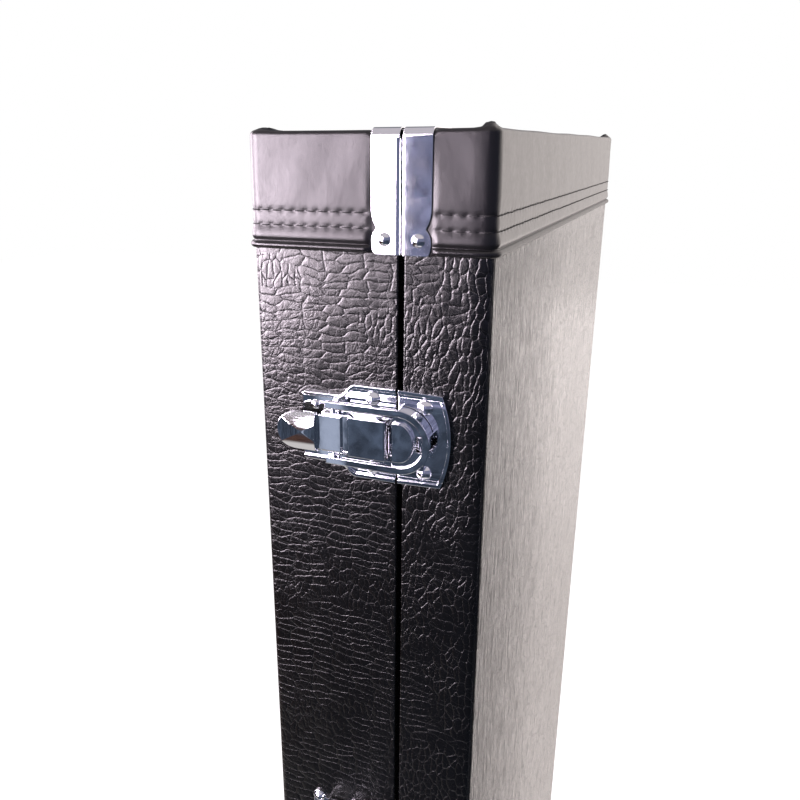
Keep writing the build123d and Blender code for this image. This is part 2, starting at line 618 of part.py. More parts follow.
# rivets of the edge clips, both ends and both sides
CLIP_RIV_Z = 47.6
for sy in (-1, 1):
    for top in (True, False):
        zc = L - CLIP_RIV_Z if top else CLIP_RIV_Z
        Pc = Plane(origin=(0, sy * (CY + CLIP_T), zc), x_dir=(1, 0, 0), z_dir=(0, sy, 0))
        body_rivets.append(rivet_on(Pc, XBS - 6.1, 0, 0, 3.1, 2.0))
        lid_rivets.append(rivet_on(Pc, XLS + 7.5, 0, 0, 3.1, 2.0))

# ---------------------------------------------------------------------------
# Carrying handle
# ---------------------------------------------------------------------------
def bracket(sign):
    # lobed base plate with a raised hood; local s, w, n about the bracket
    pl = bx_l(-11.6, 11.6, -8.0, 8.0, 0, PLATE_T)
    pl = pl + bx_l(-15.4, 15.4, -6.2, 6.2, 0, PLATE_T)
    for a in (-11.6, 11.6):
        for b in (-8.0, 8.0):
            pl = pl + Pos(a, b, PLATE_T / 2) * Cylinder(4.1, PLATE_T)
    hood = rcyl(0, HAN_PIV_N, ROD_R + 2.6, -9.0, 9.0) + bx_l(-ROD_R - 2.6, ROD_R + 2.6, -9.0, 9.0, PLATE_T - 0.2, HAN_PIV_N)
    br = pl + hood
    br = br - rcyl(0, HAN_PIV_N, ROD_R + 0.06, -20, 20)
    return br


def arm_path():
    # bail: along +w in the lower hood, out, up through the grip, and back
    n0, n1 = HAN_PIV_N, HAN_N
    zt_, zb_ = HAN_ZT, HAN_ZB
    return [(zb_ - 11.0, n0), (zb_ + 20.0, n0), (zb_ + 27.0, n1), (zt_ - 27.0, n1), (zt_ - 20.0, n0), (zt_ + 11.0, n0)]


hz = (HAN_ZT + HAN_ZB) / 2
brs = []
for zc in (HAN_ZT, HAN_ZB):
    P = Plane(origin=(HAN_X, F, zc), x_dir=(1, 0, 0), z_dir=(0, -1, 0))
    brs.append(P.location * bracket(1))
    for a in (-11.6, 11.6):
        for b in (-8.0, 8.0):
            body_rivets.append(rivet_on(P, a, b, PLATE_T, 3.1, 2.0))
parts["handle_brackets"] = grp(brs)
pp = [(HAN_X, F - n, z) for z, n in arm_path()]
rod_path = FilletPolyline(*pp, radius=9.0)
pl0 = Plane(origin=pp[0], x_dir=(1, 0, 0), z_dir=(0, 0, 1))
rod = sweep(pl0 * Circle(ROD_R), path=rod_path)
parts["handle_bail"] = rod
# padded grip, slightly waisted oval section, bored for the bail
gz0, gz1 = HAN_ZB + 38.0, HAN_ZT - 38.0
secs = []
for t, rx, ry in ((0.0, 9.0, 8.0), (0.12, 12.0, 10.0), (0.5, 13.5, 11.0), (0.88, 12.0, 10.0), (1.0, 9.0, 8.0)):
    z = gz0 + (gz1 - gz0) * t
    secs.append(Plane(origin=(HAN_X, F - HAN_N, z), x_dir=(1, 0, 0), z_dir=(0, 0, 1)) * Ellipse(rx, ry))
grip = loft(Sketch() + secs) if False else loft(secs)
grip = grip - Pos(HAN_X, F - HAN_N, hz) * Cylinder(ROD_R, 300)
parts["handle_grip"] = grip
# chrome ferrules closing the grip's ends
fers = []
for z, d in ((gz0, -1), (gz1, 1)):
    c0 = Pos(HAN_X, F - HAN_N, z + d * 2.5) * Cylinder(7.4, 5.0)
    c0 = c0 - Pos(HAN_X, F - HAN_N, hz) * Cylinder(ROD_R, 300)
    fers.append(c0)
parts["handle_ferrules"] = grp(fers)

# ---------------------------------------------------------------------------
# Hinges on the +Y side
# ---------------------------------------------------------------------------
LEAF_W, LEAF_H, LEAF_T = 30.0, 20.0, 1.2
KZ = 6.6


def hinge_plane(zc):
    # local x -> +X, local y -> -Z, local z -> +Y
    return Plane(origin=(0, H, zc), x_dir=(1, 0, 0), z_dir=(0, 1, 0))


def hleaf(s):
    # s = -1 body leaf, +1 lid leaf
    ed = 1.5
    lf = bx_l(HA_X + s * ed, HA_X + s * LEAF_W, -LEAF_H, LEAF_H, 0, LEAF_T)
    lf = rnd(lf, [q for q in lf.edges().filter_by(Axis.Z) if abs(q.center().X - (HA_X + s * LEAF_W)) < 0.1], 5)
    own = [(-KZ, KZ)] if s > 0 else [(-LEAF_H, -KZ - 0.3), (KZ + 0.3, LEAF_H)]
    other = [(-KZ - 0.6, KZ + 0.6)] if s < 0 else [(-LEAF_H - 1, -KZ + 0.3), (KZ - 0.3, LEAF_H + 1)]
    for a, b in other:
        lf = lf - bx_l(HA_X + s * 0.5, HA_X + s * 4.6, a, b, -1, 3)
    for a, b in own:
        web = bx_l(HA_X + s * 0.2, HA_X + s * 5.2, a, b, 0.0, HA_N - 0.6)
        wf = [q for q in web.edges().filter_by(Axis.Y) if abs(q.center().X - (HA_X + s * 5.2)) < 0.1 and q.center().Z > 1]
        web = fillet(wf, 2.2)
        kn = Pos(HA_X, (a + b) / 2, HA_N) * Rot(90, 0, 0) * Cylinder(KN_R, b - a)
        lf = lf + web + kn
    hole = HP_R + (0.06 if s > 0 else 0.0)
    lf = lf - Pos(HA_X, 0, HA_N) * Rot(90, 0, 0) * Cylinder(hole, 60)
    return lf


bl, lle, hpins = [], [], []
for zc in HINGE_Z:
    P = hinge_plane(zc)
    bl.append(P.location * hleaf(-1))
    lle.append(P.location * hleaf(1))
    hpins.append(P.location * (Pos(HA_X, 0, HA_N) * Rot(90, 0, 0) * Cylinder(HP_R, 2 * LEAF_H)))
    for s, lst in ((-1, body_rivets), (1, lid_rivets)):
        for a, b in ((12.0, 13.0), (12.0, -13.0), (23.5, 0.0)):
            lst.append(rivet_on(P, HA_X + s * a, b, LEAF_T, 3.1, 2.0))
parts["hinge_leaves_body"] = grp(bl)
parts["hinge_leaves_lid"] = grp(lle)
parts["hinge_pins"] = grp(hpins)

parts["body_rivets"] = grp(body_rivets)
parts["lid_rivets"] = grp(lid_rivets)


# rubber feet on the hinge side
def foot():
    f = Cone(9.5, 7.2, 8.6)
    f = Pos(0, 0, 4.3) * f
    f = fillet(f.edges().sort_by(Axis.Z)[-1:], 2.0)
    return f


fb, fld = [], []
for zc in (935.0, 95.0):
    P = hinge_plane(zc)
    fb.append(P.location * (Pos(-35.0, 0, 0) * foot()))
    fld.append(P.location * (Pos(39.0, 0, 0) * foot()))
parts["feet_body"] = grp(fb)
parts["feet_lid"] = grp(fld)

# ---------------------------------------------------------------------------
os.makedirs("parts", exist_ok=True)
for old in os.listdir("parts"):
    if old.endswith(".step"):
        os.remove(os.path.join("parts", old))
print("nodes", len(parts))
for name, shape in parts.items():
    export_step(shape, "parts/" + name + ".step")
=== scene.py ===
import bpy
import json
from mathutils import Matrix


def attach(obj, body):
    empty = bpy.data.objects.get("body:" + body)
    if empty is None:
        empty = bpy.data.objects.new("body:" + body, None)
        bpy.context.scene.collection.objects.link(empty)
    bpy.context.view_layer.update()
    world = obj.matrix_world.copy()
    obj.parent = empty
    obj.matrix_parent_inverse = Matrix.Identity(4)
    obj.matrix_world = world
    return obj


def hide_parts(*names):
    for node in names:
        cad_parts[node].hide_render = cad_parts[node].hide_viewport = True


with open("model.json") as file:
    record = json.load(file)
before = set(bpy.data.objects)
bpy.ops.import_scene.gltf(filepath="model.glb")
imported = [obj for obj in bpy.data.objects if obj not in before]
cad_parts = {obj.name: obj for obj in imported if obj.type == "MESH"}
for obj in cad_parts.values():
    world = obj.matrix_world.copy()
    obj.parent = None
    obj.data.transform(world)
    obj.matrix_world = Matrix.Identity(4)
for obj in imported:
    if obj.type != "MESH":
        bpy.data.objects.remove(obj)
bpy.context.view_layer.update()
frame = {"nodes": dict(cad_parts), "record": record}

import bpy, bmesh, json, math, random
from math import sin, cos, pi, radians, sqrt, exp, atan2, hypot
from mathutils import Vector, Matrix, Quaternion

MM = 0.001
scene = bpy.context.scene
nodes = frame["nodes"]
slots = {s["node"]: s["material_slot"] for s in frame["record"]["subparts"]}

# millimetres, the same values as the case's construction
L, B, W = 1031.0, 382.6, 120.0
XB, XL, XBS, XLS = -60.0, 60.0, 15.7, 18.3
CY = B / 2 + 1.2
CAP_PX = 0.3

# ---------------------------------------------------------------- camera
cam_data = bpy.data.cameras.new("camera")
cam = bpy.data.objects.new("camera", cam_data)
scene.collection.objects.link(cam)
scene.camera = cam
cam_data.sensor_fit = "HORIZONTAL"
cam_data.sensor_width = 36.0
cam_data.lens = 777.053 / 800.0 * 36.0
cam_data.shift_x = 28.482 / 800.0
cam_data.shift_y = 15.123 / 800.0
cam_data.clip_start = 0.01
cam_data.clip_end = 60.0
yaw, pitch, roll = radians(22.909), radians(18.99), radians(-0.207)
fwd = Vector((-sin(yaw) * cos(pitch), cos(yaw) * cos(pitch), -sin(pitch)))
rgt = fwd.cross(Vector((0, 0, 1))).normalized()
upv = rgt.cross(fwd)
r2 = rgt * cos(roll) + upv * sin(roll)
u2 = -rgt * sin(roll) + upv * cos(roll)
m = Matrix((r2, u2, -fwd)).transposed().to_4x4()
m.translation = Vector((142.724, -523.829, 1022.466)) * MM
cam.matrix_world = m


# ---------------------------------------------------------------- node helpers
class Mat:
    """A small writer for procedural materials. Coordinates come in millimetres."""

    def __init__(self, name):
        self.mt = bpy.data.materials.new(name)
        self.mt.use_nodes = True
        self.nt = self.mt.node_tree
        for n in list(self.nt.nodes):
            self.nt.nodes.remove(n)
        self.out = self.nt.nodes.new("ShaderNodeOutputMaterial")
        self.bsdf = self.nt.nodes.new("ShaderNodeBsdfPrincipled")
        self.nt.links.new(self.bsdf.outputs[0], self.out.inputs[0])
        tc = self.nt.nodes.new("ShaderNodeTexCoord")
        sc = self.nt.nodes.new("ShaderNodeVectorMath")
        sc.operation = "SCALE"
        self.nt.links.new(tc.outputs["Object"], sc.inputs[0])
        sc.inputs["Scale"].default_value = 1000.0
        self.co = sc.outputs[0]
        self._xyz = None

    def put(self, sock, v):
        if isinstance(v, bpy.types.NodeSocket):
            self.nt.links.new(v, sock)
        elif isinstance(v, (tuple, list)) and len(v) == 3 and sock.type == "RGBA":
            sock.default_value = (*v, 1.0)
        else:
            sock.default_value = v

    def set(self, name, v):
        self.put(self.bsdf.inputs[name], v)

    def math(self, op, a, b=0.0, c=None, clamp=False):
        n = self.nt.nodes.new("ShaderNodeMath")
        n.operation = op
        n.use_clamp = clamp
        self.put(n.inputs[0], a)
        self.put(n.inputs[1], b)
        if c is not None:
            self.put(n.inputs[2], c)
        return n.outputs[0]

    def vmath(self, op, a, b=None, scale=None):
        n = self.nt.nodes.new("ShaderNodeVectorMath")
        n.operation = op
        self.put(n.inputs[0], a)
        if b is not None:
            self.put(n.inputs[1], b)
        if scale is not None:
            self.put(n.inputs["Scale"], scale)
        return n.outputs[0]

    @property
    def xyz(self):
        if self._xyz is None:
            n = self.nt.nodes.new("ShaderNodeSeparateXYZ")
            self.nt.links.new(self.co, n.inputs[0])
            self._xyz = n.outputs
        return self._xyz

    def noise(self, scale, detail=3.0, rough=0.55, vec=None, distort=0.0, color=False):
        n = self.nt.nodes.new("ShaderNodeTexNoise")
        self.put(n.inputs["Vector"], vec if vec is not None else self.co)
        n.inputs["Scale"].default_value = scale
        n.inputs["Detail"].default_value = detail
        n.inputs["Roughness"].default_value = rough
        n.inputs["Distortion"].default_value = distort
        return n.outputs["Color"] if color else n.outputs["Fac"]

    def voronoi(self, scale, vec=None, feature="DISTANCE_TO_EDGE", rand=1.0, out="Distance", dims="3D"):
        n = self.nt.nodes.new("ShaderNodeTexVoronoi")
        n.voronoi_dimensions = dims
        n.feature = feature
        self.put(n.inputs["Vector"], vec if vec is not None else self.co)
        n.inputs["Scale"].default_value = scale
        n.inputs["Randomness"].default_value = rand
        return n.outputs[out]

    def rng(self, v, a, b, c=0.0, d=1.0, smooth=False):
        n = self.nt.nodes.new("ShaderNodeMapRange")
        n.interpolation_type = "SMOOTHSTEP" if smooth else "LINEAR"
        self.put(n.inputs[0], v)
        for i, x in enumerate((a, b, c, d)):
            self.put(n.inputs[1 + i], x)
        return n.outputs[0]

    def mixf(self, f, a, b):
        n = self.nt.nodes.new("ShaderNodeMix")
        n.data_type = "FLOAT"
        self.put(n.inputs[0], f)
        self.put(n.inputs[2], a)
        self.put(n.inputs[3], b)
        return n.outputs[0]

    def mixc(self, f, a, b, blend="MIX"):
        n = self.nt.nodes.new("ShaderNodeMix")
        n.data_type = "RGBA"
        n.blend_type = blend
        self.put(n.inputs[0], f)
        self.put(n.inputs[6], a)
        self.put(n.inputs[7], b)
        return n.outputs[2]

    def ramp(self, f, stops, interp="LINEAR"):
        n = self.nt.nodes.new("ShaderNodeValToRGB")
        self.put(n.inputs[0], f)
        cr = n.color_ramp
        cr.interpolation = interp
        while len(cr.elements) < len(stops):
            cr.elements.new(0.5)
        for e_, (p, c) in zip(cr.elements, stops):
            e_.position = p
            e_.color = (*c, 1.0)
        return n.outputs[0]

    def warp(self, vec, scale, amount, detail=2.0):
        c = self.noise(scale, detail, 0.5, vec, color=True)
        c = self.vmath("SUBTRACT", c, (0.5, 0.5, 0.5))
        c = self.vmath("SCALE", c, scale=amount * 2.0)
        return self.vmath("ADD", vec, c)

    def stretch(self, vec, v):
        return self.vmath("MULTIPLY", vec, v)

    def bump(self, height, dist_mm, strength=1.0, normal=None):
        n = self.nt.nodes.new("ShaderNodeBump")
        self.put(n.inputs["Height"], height)
        n.inputs["Strength"].default_value = strength
        n.inputs["Distance"].default_value = dist_mm * MM
        if normal is not None:
            self.put(n.inputs["Normal"], normal)
        return n.outputs[0]

    def bevel(self, r_mm, samples=6):
        n = self.nt.nodes.new("ShaderNodeBevel")
        n.samples = samples
        n.inputs["Radius"].default_value = r_mm * MM
        return n.outputs[0]


# ---------------------------------------------------------------- materials
def make_vinyl():
    g = Mat("grained_vinyl")
    x, y, z = g.xyz[0], g.xyz[1], g.xyz[2]
    # the sheet is wrapped round the long edges, so x + y runs on across them
    n = g.nt.nodes.new("ShaderNodeCombineXYZ")
    g.put(n.inputs[0], g.math("ADD", x, y))
    g.put(n.inputs[1], z)
    flat = n.outputs[0]
    p = g.warp(flat, 0.040, 4.2, 2.0)
    p = g.warp(p, 0.22, 0.75, 2.0)
    p = g.warp(p, 0.80, 0.30, 2.0)
    # where the creases run along the case, and where across it
    side = g.rng(x, 6.0, 18.0, 0.0, 1.0, True)
    wide = g.rng(g.math("ABSOLUTE", x), 58.6, 59.6, 0.0, 1.0, True)
    lid_face = g.rng(x, 58.6, 59.6, 0.0, 1.0, True)
    mask = g.math("ADD", g.noise(0.022, 2.0, 0.5, flat), g.math("MULTIPLY", side, 0.17))
    mask = g.math("ADD", mask, g.math("MULTIPLY", wide, 0.2))
    mask = g.rng(mask, 0.565, 0.625, 0.0, 1.0, True)
    d_h = g.voronoi(1.0, g.stretch(p, (0.085, 0.225, 0.0)), rand=0.60, dims="2D")
    d_v = g.voronoi(1.0, g.stretch(p, (0.28, 0.135, 0.0)), rand=0.85, dims="2D")
    bigd = g.mixf(mask, d_h, d_v)
    big = g.rng(bigd, 0.0, 0.062, 0.0, 1.0, True)
    pillow = g.math("POWER", g.rng(bigd, 0.0, 0.28, 0.0, 1.0, True), 0.4)
    q = g.warp(p, 0.16, 1.3)
    qs = g.mixc(wide, q, g.stretch(q, (1.0, 0.45, 0.0)))
    midd = g.voronoi(0.20, qs, rand=0.85, dims="2D")
    mid = g.rng(midd, 0.0, 0.075, 0.0, 1.0, True)
    mid_r = g.math("POWER", g.rng(midd, 0.0, 0.28, 0.0, 1.0, True), 0.42)
    fine = g.rng(g.voronoi(0.46, p, rand=0.9, dims="2D"), 0.0, 0.13, 0.0, 1.0, True)
    # some areas carry only the large creases, some are finely crumpled
    quiet = g.noise(0.026, 2.0, 0.5, g.stretch(flat, (1.0, 0.55, 1.0)))
    ends = g.rng(g.math("ABSOLUTE", g.math("SUBTRACT", z, 515.5)), 400.0, 455.0, 0.0, 0.14, True)
    quiet = g.rng(g.math("ADD", quiet, ends), 0.44, 0.64, 0.0, 1.0, True)
    mid_w = g.mixf(quiet, 0.066, 0.026)
    fine_w = g.mixf(quiet, 0.036, 0.010)
    h = g.math("MULTIPLY", big, g.mixf(mask, 0.060, 0.045))
    h = g.math("ADD", h, g.math("MULTIPLY", pillow, g.mixf(mask, 0.085, g.mixf(side, 0.12, 0.16))))
    h = g.math("ADD", h, g.math("MULTIPLY", mid_r, mid_w))
    h = g.math("ADD", h, g.math("MULTIPLY", fine, fine_w))
    h = g.math("MULTIPLY", h, g.mixf(lid_face, 0.80, 0.33))
    soft = g.noise(0.09, 2.0, 0.5)
    h = g.math("ADD", h, g.math("MULTIPLY", soft, 0.20))
    streak = g.noise(1.0, 2.0, 0.6, g.stretch(flat, (0.75, 0.035, 0.0)))
    near = g.math("MULTIPLY", lid_face, g.rng(y, -192.0, 40.0, 1.0, 0.42))
    h = g.math("ADD", h, g.math("MULTIPLY", streak, g.math("MULTIPLY", lid_face, g.rng(y, -192.0, 0.0, 0.70, 0.14))))
    micro = g.noise(1.6, 2.0, 0.6)
    h = g.math("ADD", h, g.math("MULTIPLY", micro, 0.005))
    edge = g.math("POWER", g.rng(x, 49.0, 59.4, 0.0, 1.0), 2.0)
    h = g.math("SUBTRACT", h, g.math("MULTIPLY", edge, 1.3))
    g.set("Normal", g.bump(h, 1.0, 1.0))
    # painted shade: the base colour is darker in the creases; the tone noise across it is the vinyl's own uneven tone
    crease = g.math("MULTIPLY", big, mid)
    tone = g.noise(0.02, 3.0, 0.5)
    col = g.mixc(g.math("MULTIPLY", crease, tone), (0.0010, 0.0009, 0.0010), (0.0036, 0.0033, 0.0036))
    g.set("Base Color", col)
    ro = g.mixf(crease, 0.27, 0.17)
    ro = g.math("ADD", ro, g.math("MULTIPLY", g.noise(0.35, 3.0, 0.6), 0.09))
    ro = g.math("ADD", ro, g.math("MULTIPLY", near, g.rng(streak, 0.44, 0.64, -0.06, 0.20, True)))
    g.set("Roughness", ro)
    g.bsdf.inputs["Specular IOR Level"].default_value = 0.55
    return g.mt


def make_leatherette(name="leatherette"):
    g = Mat(name)
    a = g.voronoi(2.1, g.warp(g.co, 0.9, 0.35), feature="F1")
    peb = g.rng(a, 0.0, 0.75, 1.0, 0.0, True)
    soft = g.noise(0.05, 3.0, 0.55)
    fine = g.noise(1.3, 3.0, 0.6)
    h = g.math("ADD", g.math("MULTIPLY", peb, 0.35), g.math("MULTIPLY", fine, 0.25))
    edge = g.math("POWER", g.rng(g.xyz[0], 48.5, 60.6, 0.0, 1.0), 2.0)
    n0 = g.bump(g.math("MULTIPLY", edge, -1.0), 0.9, 1.0)
    n1 = g.bump(soft, 0.9, 0.28, n0)
    g.set("Normal", g.bump(h, 0.05, 0.7, n1))
    tone = g.noise(0.035, 4.0, 0.6)
    col = g.mixc(tone, (0.0050, 0.0044, 0.0050), (0.0110, 0.0096, 0.0112))
    g.set("Base Color", col)
    ro = g.math("ADD", g.math("MULTIPLY", g.noise(0.3, 3.0, 0.6), 0.12), g.math("MULTIPLY", peb, 0.05))
    zz = g.math("ABSOLUTE", g.math("SUBTRACT", g.xyz[2], 515.5))
    hem = g.math("MULTIPLY", g.rng(zz, 465.2, 465.6, 1.0, 0.0), g.rng(g.math("ABSOLUTE", g.xyz[0]), 58.0, 59.5, 0.11, -0.10, True))
    g.set("Roughness", g.math("SUBTRACT", g.math("ADD", ro, 0.250), hem))
    g.bsdf.inputs["Specular IOR Level"].default_value = 0.52
    return g.mt


def make_thread():
    g = Mat("thread")
    tw = g.noise(2.2, 2.0, 0.5)
    g.set("Normal", g.bump(tw, 0.15, 0.8))
    g.set("Base Color", g.mixc(tw, (0.004, 0.004, 0.0045), (0.014, 0.013, 0.015)))
    g.set("Roughness", g.rng(tw, 0.0, 1.0, 0.55, 0.8))
    return g.mt


def make_chrome():
    g = Mat("chrome")
    wav = g.noise(0.09, 2.0, 0.5)
    wav2 = g.noise(0.45, 2.0, 0.5)
    scr = g.noise(1.0, 2.0, 0.7, g.stretch(g.co, (3.2, 3.2, 0.22)))
    nrm = g.bevel(0.6, 8)
    # the latch plates' long edges are pressed back a little
    z = g.xyz[2]
    d1 = g.math("ABSOLUTE", g.math("SUBTRACT", z, 889.2))
    d2 = g.math("ABSOLUTE", g.math("SUBTRACT", z, 392.0))
    d3 = g.math("ABSOLUTE", g.math("SUBTRACT", z, 140.8))
    near = g.math("MINIMUM", d1, g.math("MINIMUM", d2, d3))
    roll = g.math("POWER", g.rng(near, 12.5, 20.5, 0.0, 1.0), 5.0)
    roll = g.math("MULTIPLY", roll, g.rng(g.xyz[1], -180.0, -170.0, -0.60, 0.0))
    n0 = g.bump(roll, 1.0, 1.0, nrm)
    n1 = g.bump(wav, 0.16, 0.12, n0)
    n2 = g.bump(wav2, 0.012, 0.18, n1)
    g.set("Normal", n2)
    smudge = g.noise(0.22, 4.0, 0.65)
    g.set("Roughness", g.math("ADD", g.rng(smudge, 0.35, 0.8, 0.022, 0.055), g.math("MULTIPLY", scr, 0.012)))
    g.set("Base Color", g.mixc(smudge, (0.86, 0.87, 0.90), (0.80, 0.82, 0.86)))
    g.bsdf.inputs["Metallic"].default_value = 1.0
    return g.mt


def make_plush(name, dark, light):
    g = Mat(name)
    pile = g.noise(1.6, 4.0, 0.75)
    lay = g.noise(0.045, 3.0, 0.6, distort=0.6)
    fib = g.voronoi(2.6, feature="F1")
    h = g.math("ADD", pile, g.math("MULTIPLY", fib, 0.6))
    g.set("Normal", g.bump(h, 0.55, 0.9, g.bump(lay, 2.0, 0.3)))
    f = g.math("ADD", g.math("MULTIPLY", pile, 0.6), g.math("MULTIPLY", lay, 0.55))
    g.set("Base Color", g.mixc(g.rng(f, 0.35, 0.8), dark, light))
    g.set("Roughness", g.rng(lay, 0.0, 1.0, 0.85, 1.0))
    g.bsdf.inputs["Sheen Weight"].default_value = 0.6
    g.bsdf.inputs["Sheen Roughness"].default_value = 0.45
    g.bsdf.inputs["Specular IOR Level"].default_value = 0.2
    return g.mt


def make_plywood():
    g = Mat("plywood")
    x, y, z = g.xyz[0], g.xyz[1], g.xyz[2]
    v = g.warp(g.co, 0.02, 6.0)
    gr = g.noise(1.0, 4.0, 0.6, g.stretch(v, (0.5, 0.35, 0.018)), distort=0.4)
    fine = g.noise(1.0, 3.0, 0.7, g.stretch(g.co, (2.2, 2.2, 0.06)))
    ply = g.math("FRACT", g.math("MULTIPLY", g.math("ADD", x, y), 0.55))
    lay = g.rng(g.math("ABSOLUTE", g.math("SUBTRACT", ply, 0.5)), 0.05, 0.12, 0.0, 1.0, True)
    c = g.mixc(g.rng(gr, 0.3, 0.7), (0.40, 0.26, 0.14), (0.62, 0.46, 0.28))
    c = g.mixc(g.math("MULTIPLY", lay, 0.25), c, (0.25, 0.15, 0.08))
    c = g.mixc(g.math("MULTIPLY", fine, 0.35), c, (0.30, 0.19, 0.10))
    # the rims and the locating lip beside the parting line are painted black
    near = g.math("ABSOLUTE", g.math("SUBTRACT", x, 17.0))
    near = g.rng(near, 24.8, 25.4, 1.0, 0.0)
    c = g.mixc(near, c, (0.008, 0.008, 0.009))
    g.set("Base Color", c)
    g.set("Roughness", g.mixf(near, 0.62, 0.5))
    g.set("Normal", g.bump(g.math("ADD", gr, fine), 0.12, 0.6))
    return g.mt


def make_rubber():
    g = Mat("foot_rubber")
    n = g.noise(0.9, 4.0, 0.65)
    d = g.noise(0.12, 3.0, 0.5)
    g.set("Normal", g.bump(n, 0.08, 0.6, g.bevel(0.6)))
    g.set("Base Color", g.mixc(d, (0.012, 0.012, 0.013), (0.030, 0.029, 0.029)))
    g.set("Roughness", g.rng(n, 0.0, 1.0, 0.55, 0.8))
    return g.mt


def make_ribbon():
    g = Mat("ribbon")
    x, y, z = g.xyz[0], g.xyz[1], g.xyz[2]
    w1 = g.math("SINE", g.math("MULTIPLY", z, 7.0))
    w2 = g.math("SINE", g.math("MULTIPLY", g.math("ADD", x, y), 7.0))
    wv = g.math("MULTIPLY", w1, w2)
    g.set("Normal", g.bump(wv, 0.12, 0.8))
    g.set("Base Color", g.mixc(g.rng(wv, -1, 1), (0.010, 0.009, 0.011), (0.030, 0.027, 0.032)))
    g.set("Roughness", g.rng(g.noise(0.4), 0.0, 1.0, 0.5, 0.75))
    return g.mt


VINYL = make_vinyl()
LEATHER = make_leatherette()
GRIP = make_leatherette("grip_leatherette")
THREAD = make_thread()
CHROME = make_chrome()
PLUSH = make_plush("plush", (0.014, 0.014, 0.016), (0.062, 0.060, 0.068))
FOAM = make_plush("plush_foam", (0.018, 0.018, 0.020), (0.080, 0.077, 0.087))
PLY = make_plywood()
RUBBER = make_rubber()
RIBBON = make_ribbon()
by_slot = {"grained_vinyl": VINYL, "leatherette": LEATHER, "grip_leatherette": GRIP, "chrome": CHROME,
           "plush": PLUSH, "plush_foam": FOAM, "plywood": PLY, "foot_rubber": RUBBER, "ribbon": RIBBON}
for n, o in nodes.items():
    mt = by_slot[slots[n]]
    if not o.material_slots:
        o.data.materials.append(mt)
    for sl in o.material_slots:
        sl.material = mt


# ---------------------------------------------------------------- mesh helpers
def new_piece(name, verts, faces, material, body, smooth=True):
    me = bpy.data.meshes.new(name)
    me.from_pydata([tuple(c * MM for c in v) for v in verts], [], faces)
    me.validate()
    me.update()
    if smooth:
        me.polygons.foreach_set("use_smooth", [True] * len(me.polygons))
    o = bpy.data.objects.new(name, me)
    scene.collection.objects.link(o)
    me.materials.append(material)
    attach(o, body)
    return o


def lerp(a, b, t):
    return a + (b - a) * t


def sstep(a, b, v):
    t = min(1.0, max(0.0, (v - a) / (b - a)))
    return t * t * (3 - 2 * t)


# ---------------------------------------------------------------- end caps
PITCH = 6.0
ROW_LO, ROW_HI = 988.0, 994.8
TOPZ = 1030.0


def cap_path(dmax, r, inset, cols):
    """Plan points (D, y) of the cap's outline, at an inset from its planes. cols lists (segment, t)."""
    half = CY - inset
    out = []
    for seg, t in cols:
        if seg == 0:
            out.append((lerp(dmax, inset + r, t), -half, 0.0, -1.0))
        elif seg == 1:
            a = t * pi / 2
            out.append((inset + r - r * sin(a), -half + r - r * cos(a), -sin(a), -cos(a)))
        elif seg == 2:
            out.append((inset, lerp(-half + r, half - r, t), -1.0, 0.0))
        elif seg == 3:
            a = t * pi / 2
            out.append((inset + r - r * cos(a), half - r + r * sin(a), -cos(a), sin(a)))
        else:
            out.append((lerp(inset + r, dmax, t), half, 0.0, 1.0))
    return out


